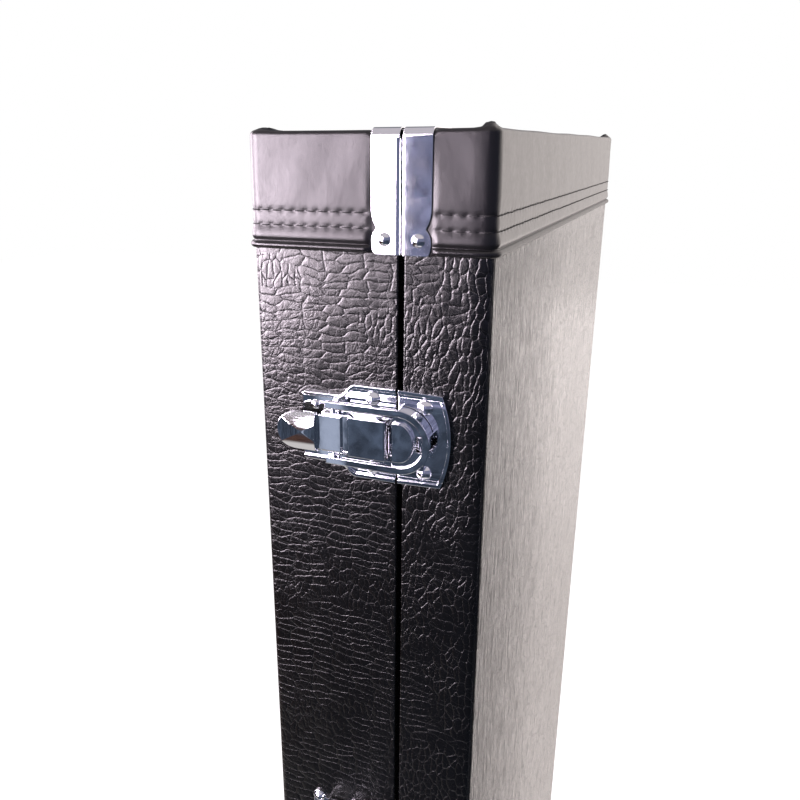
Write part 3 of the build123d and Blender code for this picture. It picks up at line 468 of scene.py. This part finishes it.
def make_cap(name, body, node, x_out, s, dmax, clip_d, top, seed):
    rnd = random.Random(seed)
    R = 5.0
    step = PITCH / 5
    na = max(8, round((dmax - R) / step))
    nw = round((2 * CY - 2 * R) / step)
    nc = 8
    cols = [(0, i / na) for i in range(na)]
    cols += [(1, i / nc) for i in range(nc)]
    cols += [(2, i / nw) for i in range(nw)]
    cols += [(3, i / nc) for i in range(nc)]
    cols += [(4, i / na) for i in range(na + 1)]
    base = cap_path(dmax, R, 0.0, cols)
    # length along the outline
    arc = [0.0]
    for a, b in zip(base, base[1:]):
        arc.append(arc[-1] + hypot(a[0] - b[0], a[1] - b[1]))
    total = arc[-1]
    ca, cb = dmax - R + R * pi / 4, total - (dmax - R + R * pi / 4)   # the two corners

    ph = [rnd.uniform(0, 6.28) for _ in range(8)]

    def soft(a, z):
        return (0.16 * sin(a * 0.045 + ph[0] + z * 0.02) + 0.10 * sin(a * 0.11 + ph[1] - z * 0.07)
                + 0.06 * sin(a * 0.27 + ph[2] + z * 0.16))

    holes = []
    a = clip_d + 3.4
    first = a
    while a < total - first:
        holes.append(a)
        a += PITCH

    def hole_pull(a, row_dz):
        if a < first - 3 or a > total - first + 3:
            return 0.0
        k = round((a - first) / PITCH)
        d = a - (first + k * PITCH)
        return exp(-(d * d) / 1.1 - row_dz * row_dz / 0.8)

    def corner(a):
        return exp(-((a - ca) / 7.5) ** 2), exp(-((a - cb) / 7.5) ** 2)

    def lump(d, y):
        # the folded leather stands a little proud inside the corners
        if s < 0:
            hgt, dc, sd = 2.6, 5.6, 3.1
        else:
            hgt, dc, sd = 1.5, 7.6, 5.0
        k = hgt * exp(-(abs(d - dc) / sd) ** 3 - (abs(abs(y) - (CY - 5.4)) / 3.4) ** 2)
        return k + 0.25 * sin(y * 0.05 + ph[4]) * sin(y * 0.021 + d * 0.03 + ph[5])

    # profile rows: (outward offset, z)
    prof = [(-1.15, 976.9)]
    cz, cn, cr = 978.7, 0.30, 1.75
    for k in range(11):
        an = radians(-105 + k * 19.5)
        prof.append((cn + cr * cos(an), cz + cr * sin(an)))
    prof += [(0.30, 980.9), (0.95, 981.6), (1.22, 982.7), (1.16, 984.0), (0.92, 985.3), (0.64, 986.4), (0.44, 987.3),
             (0.32, 988.0), (0.33, 988.7), (0.36, 989.6), (0.38, 990.6), (0.38, 991.5), (0.36, 992.5), (0.31, 993.4),
             (0.25, 994.2), (0.20, 994.8), (0.22, 995.4), (0.28, 996.3), (0.33, 997.6), (0.36, 999.4), (0.37, 1002.0),
             (0.35, 1005.0), (0.30, 1008.5), (0.24, 1012.0), (0.16, 1015.5), (0.09, 1018.5), (0.02, 1021.5), (-0.06, 1024.2),
             (-0.12, 1026.2)]
    n_side = len(prof)
    for k in range(8):
        prof.append((k, 1027.0))
    verts, faces = [], []
    ncol = len(cols)
    for i_row, (n0, z0) in enumerate(prof):
        for j, (d, y, nx, ny) in enumerate(base):
            a = arc[j]
            n, z = n0, z0
            dist = min(a, total - a)
            press = 1 - sstep(clip_d - 0.2, clip_d + 2.4, dist)
            if i_row >= n_side:
                # the turn over the end: tight, but wider under the clips
                rt = lerp(2.1, 3.8, press)
                an = n0 / 7 * pi / 2
                n = -0.12 - rt + rt * cos(an)
                z = TOPZ - rt + rt * sin(an)
            if n0 > -1.0 and z0 > 980:
                pad = sstep(996, 1003, z0) * (1 - sstep(1022, 1029, z0))
                n += soft(a, z0) * (0.25 + 0.5 * pad)
                n -= 0.36 * hole_pull(a, z0 - ROW_LO) + 0.36 * hole_pull(a, z0 - ROW_HI)
                n -= 0.05 * (exp(-((z0 - ROW_LO) / 0.8) ** 2) + exp(-((z0 - ROW_HI) / 0.8) ** 2))
            c1, c2 = corner(a)
            if z0 > 1018:
                up = sstep(1020, 1028, z0)
                z += up * lump(d + nx * n, y + ny * n)
                n += up * 0.12 * (c1 + c2)
                # gathered pleats round the corner
                n -= up * 0.22 * (c1 + c2) * (0.5 + 0.5 * sin(a * 2.3 + ph[6]))
            # pressed flat under the clips
            if z0 > 976.95 and press > 0:
                n = lerp(n, min(n, -0.06), press)
                if z0 > 1026.4:
                    z = lerp(z, min(z, TOPZ - 0.1), press)
            # rounded edge at the seam
            edge = max(0.0, 0.8 - dist)
            inn = 0.8 - sqrt(max(0.0, 0.64 - edge * edge))
            verts.append((d, y, n - inn, nx, ny, z))
    pts = []
    for d, y, n, nx, ny, z in verts:
        pts.append([d + nx * n, y + ny * n, z])
    rows = len(prof)
    for i in range(rows - 1):
        for j in range(ncol - 1):
            q = i * ncol + j
            faces.append((q, q + 1, q + 1 + ncol, q + ncol))
    # the end face: rings further and further in
    prev = (rows - 1) * ncol
    ins = [2.9, 3.8, 4.8, 6.0, 7.4, 9.2, 11.5, 14.5, 18, 23, 29]
    ins = [v for v in ins if v < dmax - 9]
    if dmax > 60:
        ins += [38, 48, 58]
    for q_in in ins:
        rr = min(R + q_in * 0.25, 12)
        ring = cap_path(dmax, rr, q_in, cols)
        start = len(pts)
        for j, (d, y, nx, ny) in enumerate(ring):
            a = arc[j]
            c1, c2 = corner(a)
            fade = exp(-((q_in - 3) / 9.0) ** 2)
            z = TOPZ + lump(d, y)
            z += fade * 0.22 * (c1 + c2) * sin(a * 2.3 + ph[6])
            z += 0.35 * (1 - fade) * (1 - exp(-((q_in - 3) / 8.0) ** 2)) * sin(y * 0.013 + ph[7]) ** 2
            dist = min(a, total - a)
            dd = dmax - d
            if dd < clip_d + 0.6 and q_in < 30:
                z = min(z, TOPZ - 0.1)
            edge = max(0.0, 0.8 - dd)
            z -= 0.8 - sqrt(max(0.0, 0.64 - edge * edge))
            pts.append([d, y, z])
        for j in range(ncol - 1):
            faces.append((prev + j, prev + j + 1, start + j + 1, start + j))
        prev = start
    faces.append(tuple(reversed([prev + j for j in range(ncol)])))

    def place(p):
        x = x_out - s * CAP_PX + s * p[0]
        z = p[2]
        if not top:
            z = L - z
            z = max(z, 0.0)
        return (x, p[1], z)

    flip = (s > 0) == top
    out = [place(p) for p in pts]
    fc = [tuple(reversed(f)) for f in faces] if flip else faces
    o = new_piece(name, out, fc, LEATHER, body)
    sol = o.modifiers.new("thickness", "SOLIDIFY")
    sol.thickness = 1.0 * MM
    sol.offset = -1.0
    sol.use_even_offset = False

    # stitches
    sv, sf = [], []

    def capsule(p, t, nrm, length, r):
        t = Vector(t).normalized()
        nn = Vector(nrm).normalized()
        b = t.cross(nn).normalized()
        k0 = len(sv)
        secs = [(-0.5, 0.25), (-0.42, 0.72), (-0.25, 0.98), (0.0, 1.05), (0.25, 0.98), (0.42, 0.72), (0.5, 0.25)]
        for u, w in secs:
            for q in range(8):
                an = q * pi / 4
                dip = -0.55 * (abs(u) * 2) ** 2.5
                c = Vector(p) + t * (u * length) + nn * (dip + r * w * 0.8 * sin(an)) + b * (r * w * cos(an))
                sv.append(c)
        for i in range(len(secs) - 1):
            for q in range(8):
                sf.append((k0 + i * 8 + q, k0 + i * 8 + (q + 1) % 8, k0 + (i + 1) * 8 + (q + 1) % 8, k0 + (i + 1) * 8 + q))
        sf.append(tuple(reversed([k0 + q for q in range(8)])))
        sf.append(tuple([k0 + (len(secs) - 1) * 8 + q for q in range(8)]))

    for zr in (ROW_LO, ROW_HI):
        for h0 in holes[:-1]:
            am = h0 + PITCH / 2
            j = min(range(ncol), key=lambda q: abs(arc[q] - am))
            j = max(1, min(ncol - 2, j))
            d, y, nx, ny = base[j]
            d0, y0 = base[j - 1][:2]
            d1, y1 = base[j + 1][:2]
            n = 0.40 + soft(am, zr) * 0.25 + (0.12 if zr == ROW_LO else 0.0)
            p = (d + nx * n, y + ny * n, zr + rnd.uniform(-0.15, 0.15))
            capsule(p, (d1 - d0, y1 - y0, rnd.uniform(-0.08, 0.08)), (nx, ny, 0), PITCH * rnd.uniform(0.78, 0.86), 0.30)
    sp = [place(p) for p in sv]
    sfc = [tuple(reversed(f)) for f in sf] if flip else sf
    st = new_piece(name + "_stitches", sp, sfc, THREAD, body)
    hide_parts(node)
    return o


make_cap("end_cap_tail_body", "case_body", "tail_cap_body", XB, 1, XBS - XB + CAP_PX, 12.7, True, 3)
make_cap("end_cap_tail_lid", "case_lid", "tail_cap_lid", XL, -1, XL - XLS + CAP_PX, 13.5, True, 5)
make_cap("end_cap_head_body", "case_body", "head_cap_body", XB, 1, XBS - XB + CAP_PX, 12.7, False, 7)
make_cap("end_cap_head_lid", "case_lid", "head_cap_lid", XL, -1, XL - XLS + CAP_PX, 13.5, False, 9)

# ---------------------------------------------------------------- lining and pads
LI_Y, Z_IN0, Z_IN1 = 181.6, 13.7, 1017.3          # inside of the lining
FLOOR_B, OPEN_B = -52.3, -8.3                     # body: lining floor and rim
FLOOR_L, OPEN_L = 52.3, 24.2                      # lid


def round_rect(hy, z0, z1, r, ny, nz, nc):
    """Closed outline in (y, z), the same number of points whatever its size."""
    out = []
    cs = [(-hy + r, z0 + r, pi), (hy - r, z0 + r, 1.5 * pi), (hy - r, z1 - r, 0.0), (-hy + r, z1 - r, 0.5 * pi)]
    for k in range(4):
        cy, cz, a0 = cs[k]
        for i in range(nc):
            a = a0 + (i / nc) * pi / 2
            out.append((cy + r * cos(a), cz + r * sin(a)))
        ny_, nz_ = cs[(k + 1) % 4][:2]
        a1 = a0 + pi / 2
        p = (cy + r * cos(a1), cz + r * sin(a1))
        q = (ny_ + r * cos(a1), nz_ + r * sin(a1))
        n = ny if k % 2 == 0 else nz
        for i in range(n):
            out.append((lerp(p[0], q[0], i / n), lerp(p[1], q[1], i / n)))
    return out


def rings_piece(name, rings, material, body, flip, cap_first=False, cap_last=True, thickness=0.0):
    pts, faces = [], []
    n = len(rings[0])
    for r in rings:
        pts += r
    for i in range(len(rings) - 1):
        for j in range(n):
            a, b = i * n + j, i * n + (j + 1) % n
            faces.append((a, b, b + n, a + n))
    if cap_last:
        k = (len(rings) - 1) * n
        faces.append(tuple(k + j for j in range(n)))
    if cap_first:
        faces.append(tuple(reversed(range(n))))
    if flip:
        faces = [tuple(reversed(f)) for f in faces]
    o = new_piece(name, pts, faces, material, body)
    if thickness:
        sol = o.modifiers.new("thickness", "SOLIDIFY")
        sol.thickness = abs(thickness) * MM
        sol.offset = 1.0 if thickness > 0 else -1.0
    return o


def wave(y, z, ph):
    return sin(y * 0.031 + ph) * sin(z * 0.023 + 2 * ph) + 0.5 * sin(y * 0.083 - z * 0.057 + ph)


def tray(name, node, body, x_floor, x_open, sx, seed):
    rows = [(0.0, x_open, 2.5), (0.0, x_open - sx * 0.4, 2.5)]
    depth = abs(x_open - x_floor)
    for i in range(1, 7):
        rows.append((0.0, x_open - sx * (0.4 + (depth - 3.4) * i / 6), 2.5))
    for k in range(1, 5):
        a = k / 4 * pi / 2
        rows.append((3.0 - 3.0 * cos(a), x_floor + sx * (3.0 - 3.0 * sin(a)), 3.0 + k * 0.5))
    for q in (7, 13, 22, 34, 50, 70, 92, 116, 140, 162, 174):
        rows.append((float(q), x_floor, 6.0))
    rings = []
    for ins, x, r in rows:
        ring = []
        for y, z in round_rect(LI_Y - ins, Z_IN0 + ins, Z_IN1 - ins, r, 60, 150, 5):
            u = 0.22 * wave(y, z, seed) if ins > 4 else 0.0
            ring.append((x + sx * (u + 0.1 * (ins > 4)), y, z))
        rings.append(ring)
    o = rings_piece(name, rings, PLUSH, body, sx > 0, thickness=-1.1)
    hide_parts(node)
    return o


tray("plush_lining_body", "body_plush_lining", "case_body", FLOOR_B, OPEN_B, 1, 1.3)
tray("plush_lining_lid", "lid_plush_lining", "case_lid", FLOOR_L, OPEN_L, -1, 2.1)


def lid_panel_pad():
    hy, z0, z1 = 177.6, 17.7, 1013.3
    prof = [(1.5, 52.2), (0.4, 51.6), (0.0, 50.6), (0.1, 49.2), (0.8, 47.4), (2.2, 45.9), (4.4, 44.7), (7.2, 43.9),
            (10.0, 43.7), (12.0, 44.0), (13.4, 44.9), (14.0, 45.6), (14.6, 44.9), (16.2, 43.9), (20, 43.5), (27, 43.35),
            (38, 43.3), (55, 43.3), (75, 43.3), (100, 43.3), (125, 43.3), (150, 43.3), (168, 43.3)]
    rings = []
    for ins, x in prof:
        ring = []
        r = max(6.0, 24.0 - ins * 0.6)
        for y, z in round_rect(hy - ins, z0 + ins, z1 - ins, r, 60, 150, 8):
            u = 0.45 * (wave(y, z, 0.7) + 1.2) if ins > 16 else 0.0
            ring.append((x + u, y, z))
        rings.append(ring)
    o = rings_piece("lid_padding", rings, FOAM, "case_lid", False, cap_first=True)
    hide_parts("lid_pad")


lid_panel_pad()


def soft_block(name, node, body, voxel=4.0, smooth=9, crown=2.2, floor=FLOOR_B):
    """A foam piece under plush: rounded edges and a crowned face."""
    me = nodes[node].data.copy()
    bm = bmesh.new()
    bm.from_mesh(me)
    bmesh.ops.remove_doubles(bm, verts=bm.verts, dist=1e-5)
    bm.to_mesh(me)
    bm.free()
    o = bpy.data.objects.new(name + "_raw", me)
    scene.collection.objects.link(o)
    rm = o.modifiers.new("r", "REMESH")
    rm.mode = "VOXEL"
    rm.voxel_size = voxel * MM
    sm = o.modifiers.new("s", "SMOOTH")
    sm.factor = 0.5
    sm.iterations = smooth
    bpy.context.view_layer.update()
    ev = o.evaluated_get(bpy.context.evaluated_depsgraph_get())
    me2 = bpy.data.meshes.new_from_object(ev)
    bpy.data.objects.remove(o)
    bm = bmesh.new()
    bm.from_mesh(me2)
    bm.normal_update()
    top = max(v.co.x for v in bm.verts)
    f = [1.0 if v.normal.x > 0.85 and v.co.x > top - 0.006 else 0.0 for v in bm.verts]
    nb = [[e.other_vert(v).index for e in v.link_edges] for v in bm.verts]
    for _ in range(28):
        f = [0.5 * f[i] + 0.5 * (sum(f[j] for j in nb[i]) / max(1, len(nb[i]))) for i in range(len(f))]
    for v in bm.verts:
        k = f[v.index]
        if v.normal.x > 0.2 or k > 0.35:
            v.co.x += (crown * (k - 0.55) * 1.6 + 0.25 * wave(v.co.y * 1000, v.co.z * 1000, 1.1) * k) * MM * max(0.0, v.normal.x)
        v.co.x = max(v.co.x, (floor + 0.4) * MM)
    me3 = bpy.data.meshes.new(name)
    bm.to_mesh(me3)
    bm.free()
    me3.polygons.foreach_set("use_smooth", [True] * len(me3.polygons))
    me3.materials.clear()
    me3.materials.append(FOAM)
    p = bpy.data.objects.new(name, me3)
    scene.collection.objects.link(p)
    sub = p.modifiers.new("subdivision", "SUBSURF")
    sub.levels = 1
    sub.render_levels = 1
    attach(p, body)
    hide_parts(node)
    return p


for nm, nd, cr in (("tail_padding", "tail_pad", 2.0), ("waist_padding", "waist_pads", 1.6), ("shoulder_padding", "shoulder_pads", 1.8),
                   ("side_padding", "side_block", 1.8), ("neck_padding", "neck_support", 0.8), ("headstock_padding", "headstock_pad", 1.4)):
    soft_block(nm, nd, "case_body", crown=cr)


def pull_tab():
    z0, z1 = 367.2, 382.8
    pts, faces = [], []
    nu, nv = 26, 6
    for i in range(nu + 1):
        t = i / nu
        y = lerp(24.4, 61.6, t)
        for j in range(nv + 1):
            u = j / nv
            lift = 0.35 + 0.55 * sin(pi * min(1.0, (1 - t) * 1.7)) ** 2 + 0.08 * sin(9 * t + 2)
            zc = lerp(z0, z1, u)
            zc += (0.5 - u) * 1.2 * (1 - sstep(0.0, 0.12, t))
            pts.append((-8.62 + lift, y, zc))
    for i in range(nu):
        for j in range(nv):
            a = i * (nv + 1) + j
            faces.append((a, a + 1, a + nv + 2, a + nv + 1))
    o = new_piece("pull_ribbon", pts, faces, RIBBON, "box_lid")
    sol = o.modifiers.new("thickness", "SOLIDIFY")
    sol.thickness = 0.45 * MM
    sol.offset = 0.0
    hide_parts("accessory_pull_tab")


pull_tab()

# ---------------------------------------------------------------- handle grip
def grip():
    cx, cy = -20.9, -191.3 - 40.0
    z0, z1 = 513.0, 602.0
    nz, na = 84, 56
    rings = []
    for i in range(nz + 1):
        t = i / nz
        e = min(t, 1 - t)
        k = sstep(0.0, 0.16, e) ** 0.6
        rx = lerp(8.9, 13.2, k) + 0.25 * sin(t * 8 * pi) * sstep(0.12, 0.25, e)
        ry = lerp(7.9, 10.7, k) + 0.20 * sin(t * 8 * pi) * sstep(0.12, 0.25, e)
        ring = []
        for j in range(na):
            a = 2 * pi * j / na
            w_ = 1.0 + 0.012 * sin(5 * a + 9 * t) + 0.008 * sin(11 * t * 6.0 + 3 * a)
            # the cover meets in a seam on the side that faces the case
            da = ((a - pi / 2 + pi) % (2 * pi)) - pi
            w_ -= 0.035 * exp(-(da / 0.05) ** 2)
            w_ += 0.02 * exp(-((abs(da) - 0.14) / 0.08) ** 2)
            ring.append((cx + rx * w_ * cos(a), cy + ry * w_ * sin(a), lerp(z0, z1, t)))
        rings.append(ring)
    o = rings_piece("grip_cover", rings, GRIP, "carry_handle", False, cap_first=True)
    sub = o.modifiers.new("subdivision", "SUBSURF")
    sub.levels = sub.render_levels = 1
    pts, faces = [], []
    z = z0 + 10.0
    while z < z1 - 12:
        k0 = len(pts)
        for s_ in (-1, 1):
            pass
        for i in range(9):
            u = i / 8
            xx = cx + lerp(-1.9, 1.9, u)
            yy = cy + 10.75 + 0.25 - 0.9 * abs(u - 0.5) ** 2 * 4
            zz = z + lerp(-1.0, 1.0, u)
            for q in range(6):
                a = q * pi / 3
                pts.append((xx, yy + 0.32 * cos(a), zz + 0.32 * sin(a)))
        for i in range(8):
            for q in range(6):
                a = k0 + i * 6 + q
                b = k0 + i * 6 + (q + 1) % 6
                faces.append((a, b, b + 6, a + 6))
        faces.append(tuple(reversed([k0 + q for q in range(6)])))
        faces.append(tuple([k0 + 48 + q for q in range(6)]))
        z += 4.2
    new_piece("grip_stitches", pts, faces, THREAD, "carry_handle")
    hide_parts("handle_grip")


grip()

# ---------------------------------------------------------------- light
world = bpy.data.worlds.new("world")
scene.world = world
world.use_nodes = True
wt = world.node_tree
for n in list(wt.nodes):
    wt.nodes.remove(n)


class W_(Mat):
    def __init__(self):
        self.nt = wt
        self._xyz = None
        tc = wt.nodes.new("ShaderNodeTexCoord")
        self.co = tc.outputs["Generated"]


w = W_()
wx, wy, wz = w.xyz
back = w.rng(wy, 0.22, 0.66, 0.0, 1.0, True)
patch = w.rng(w.noise(4.0, 3.0, 0.65), 0.38, 0.62, 0.0, 1.0, True)
patch2 = w.rng(w.noise(9.0, 3.0, 0.7), 0.45, 0.60, 0.0, 1.0, True)
mid_ = w.mixc(patch, (0.12, 0.13, 0.21), (0.30, 0.30, 0.45))
mid_ = w.mixc(w.math("MULTIPLY", patch2, 0.5), mid_, (0.04, 0.05, 0.10))
speck = w.rng(w.noise(75.0, 4.0, 0.75), 0.36, 0.66, 0.55, 1.75, True)
dark_ = w.mixc(patch, (0.026, 0.032, 0.046), (0.062, 0.080, 0.118))
brown = w.math("MULTIPLY", w.rng(wx, -0.46, -0.38, 1.0, 0.0, True), w.rng(wz, -0.55, -0.35, 1.0, 0.0, True))
dark_ = w.mixc(brown, dark_, (0.075, 0.040, 0.032))
front = w.mixc(w.rng(wz, -0.30, -0.12, 1.0, 0.0, True), mid_, dark_)
sn = wt.nodes.new("ShaderNodeVectorMath")
sn.operation = "SCALE"
w.put(sn.inputs[0], front)
w.put(sn.inputs["Scale"], speck)
front = sn.outputs[0]
in_a = w.rng(w.math("SUBTRACT", w.math("MULTIPLY", wy, 0.5095), wx), -0.004, 0.004, 1.0, 0.0)
in_b = w.rng(w.math("SUBTRACT", w.math("MULTIPLY", wy, 0.4706), wx), -0.004, 0.004, 0.0, 1.0)
in_c = w.math("MULTIPLY", w.rng(wz, -0.26, -0.23, 1.0, 0.0), w.rng(wz, -0.60, -0.45, 0.0, 1.0))
neck_l = w.math("MULTIPLY", w.math("MULTIPLY", in_a, in_b), in_c)
front = w.mixc(neck_l, front, (0.40, 0.45, 0.58))
side_l = w.math("SUBTRACT", w.math("MULTIPLY", wy, 0.381), wx)
band = w.math("MULTIPLY", w.rng(side_l, -0.004, 0.004, 0.0, 1.0), w.rng(wz, -0.22, -0.16, 0.0, 1.0, True))
soft_l = w.mixc(w.rng(wz, -0.17, -0.09, 0.0, 1.0, True), (1.45, 1.36, 1.42), (17.0, 14.6, 16.6))
bars = w.math("MULTIPLY", w.rng(w.math("SINE", w.math("MULTIPLY", wz, 62.0)), 0.05, 0.5, 0.0, 1.0, True), w.rng(wz, 0.0, 0.03, 0.0, 1.0, True))
soft_l = w.mixc(bars, soft_l, (0.30, 0.27, 0.29))
front = w.mixc(band, front, soft_l)
slit = w.math("MULTIPLY", w.rng(w.math("SUBTRACT", w.math("MULTIPLY", wy, 0.600), wx), -0.012, 0.012, 1.0, 0.0),
              w.rng(w.math("SUBTRACT", w.math("MULTIPLY", wy, 0.500), wx), -0.012, 0.012, 0.0, 1.0))
slit = w.math("MULTIPLY", slit, w.rng(wz, -0.30, -0.20, 0.0, 1.0, True))
front = w.mixc(slit, front, w.mixc(w.rng(wz, -0.14, 0.34, 0.0, 1.0, True), (0.100, 0.062, 0.056), (0.52, 0.48, 0.50)))
front = w.mixc(w.rng(wz, 0.40, 0.52, 0.0, 1.0, True), front, (0.60, 0.55, 0.59))
white_l = w.math("MULTIPLY", w.rng(wx, -0.42, -0.32, 1.0, 0.0, True), w.rng(wz, -0.74, -0.66, 1.0, 0.0, True))
front = w.mixc(white_l, front, (0.66, 0.62, 0.60))
front = w.mixc(w.rng(wz, -0.97, -0.91, 1.0, 0.0, True), front, (1.00, 0.95, 0.97))
far = w.mixc(w.rng(wz, -0.60, -0.15, 1.0, 0.0, True), (1.90, 1.74, 1.68), (1.22, 1.10, 1.06))
near_l = w.rng(w.math("SUBTRACT", wx, w.math("MULTIPLY", wy, 0.17)), -0.05, 0.05, 0.0, 1.0, True)
near_l = w.math("MULTIPLY", near_l, w.rng(wz, -0.20, -0.15, 1.0, 0.0, True))
far_b = w.mixc(w.rng(wz, -0.60, -0.15, 1.0, 0.0, True), (3.50, 3.20, 3.10), (2.00, 1.81, 1.74))
far = w.mixc(near_l, far, far_b)
past = w.rng(w.math("SUBTRACT", wx, w.math("MULTIPLY", wy, 0.47)), -0.03, 0.03, 0.0, 1.0, True)
far = w.mixc(w.math("MULTIPLY", past, w.rng(wz, -0.20, -0.15, 1.0, 0.0, True)), far, (0.14, 0.13, 0.13))
# behind, only the part beside the lid's large face is bright
beside = w.rng(w.math("SUBTRACT", wx, w.math("MULTIPLY", wy, 0.06)), -0.02, 0.02, 0.0, 1.0, True)
rows = w.rng(w.math("SINE", w.math("MULTIPLY", wz, 9.0)), -0.6, 0.7, 0.0, 1.0, True)
cols_ = w.rng(w.math("SINE", w.math("MULTIPLY", wx, 7.0)), 0.2, 0.8, 0.0, 1.0, True)
rear = w.mixc(w.math("MAXIMUM", w.math("MULTIPLY", rows, 0.6), cols_), (0.10, 0.11, 0.14), (0.85, 0.80, 0.82))
far = w.mixc(beside, rear, far)
glossy = w.mixc(back, front, far)
bg_g = wt.nodes.new("ShaderNodeBackground")
w.put(bg_g.inputs[0], glossy)
bg_g.inputs[1].default_value = 1.0
bg_d = wt.nodes.new("ShaderNodeBackground")
bg_d.inputs[0].default_value = (1, 1, 1, 1)
bg_d.inputs[1].default_value = 0.45
bg_c = wt.nodes.new("ShaderNodeBackground")
bg_c.inputs[0].default_value = (1, 1, 1, 1)
bg_c.inputs[1].default_value = 1.0
lp = wt.nodes.new("ShaderNodeLightPath")
mx = wt.nodes.new("ShaderNodeMixShader")
wt.links.new(lp.outputs["Is Glossy Ray"], mx.inputs[0])
wt.links.new(bg_d.outputs[0], mx.inputs[1])
wt.links.new(bg_g.outputs[0], mx.inputs[2])
mc = wt.nodes.new("ShaderNodeMixShader")
wt.links.new(lp.outputs["Is Camera Ray"], mc.inputs[0])
wt.links.new(mx.outputs[0], mc.inputs[1])
wt.links.new(bg_c.outputs[0], mc.inputs[2])
wo = wt.nodes.new("ShaderNodeOutputWorld")
wt.links.new(mc.outputs[0], wo.inputs[0])


def area(name, pos, target, w_, h_, radiance, color=(1, 1, 1)):
    d = bpy.data.lights.new(name, "AREA")
    d.shape = "RECTANGLE"
    d.size, d.size_y = w_, h_
    d.energy = radiance * pi * w_ * h_
    d.color = color
    o = bpy.data.objects.new(name, d)
    scene.collection.objects.link(o)
    o.location = pos
    dirv = Vector(target) - Vector(pos)
    o.rotation_euler = dirv.to_track_quat("-Z", "Y").to_euler()
    return o


# softbox in front, to the left
P0 = Vector((0.016, -0.193, 0.985))
az0, az1, el0, el1 = 32.0, 54.0, -15.0, 14.0
dist = 1.5
azc, elc = radians((az0 + az1) / 2), radians((el0 + el1) / 2)
dv = Vector((-sin(azc) * cos(elc), -cos(azc) * cos(elc), sin(elc)))
key_w = 2 * dist * math.tan(radians((az1 - az0) / 2)) * cos(elc)
key_h = 2 * dist * math.tan(radians((el1 - el0) / 2))
area("key", P0 + dv * dist, P0, key_w, key_h, 24.0, (1.0, 0.87, 0.98))

# ---------------------------------------------------------------- floor
fm = Mat("floor")
nf = fm.noise(0.02, 3.0, 0.5)
fm.set("Base Color", fm.mixc(nf, (0.93, 0.93, 0.93), (0.95, 0.95, 0.95)))
fm.set("Roughness", 0.9)
fm.bsdf.inputs["Emission Color"].default_value = (1, 1, 1, 1)
fm.bsdf.inputs["Emission Strength"].default_value = 0.62
fm.bsdf.inputs["Specular IOR Level"].default_value = 0.0
fme = bpy.data.meshes.new("floor")
S_ = 6.0
fme.from_pydata([(-S_, -S_, 0), (S_, -S_, 0), (S_, S_, 0), (-S_, S_, 0)], [], [(0, 1, 2, 3)])
fo = bpy.data.objects.new("floor", fme)
fme.materials.append(fm.mt)
scene.collection.objects.link(fo)
fo.location = (0, 0, -0.0005)
fo.visible_glossy = False
fo.visible_diffuse = False

scene.view_settings.view_transform = "Standard"
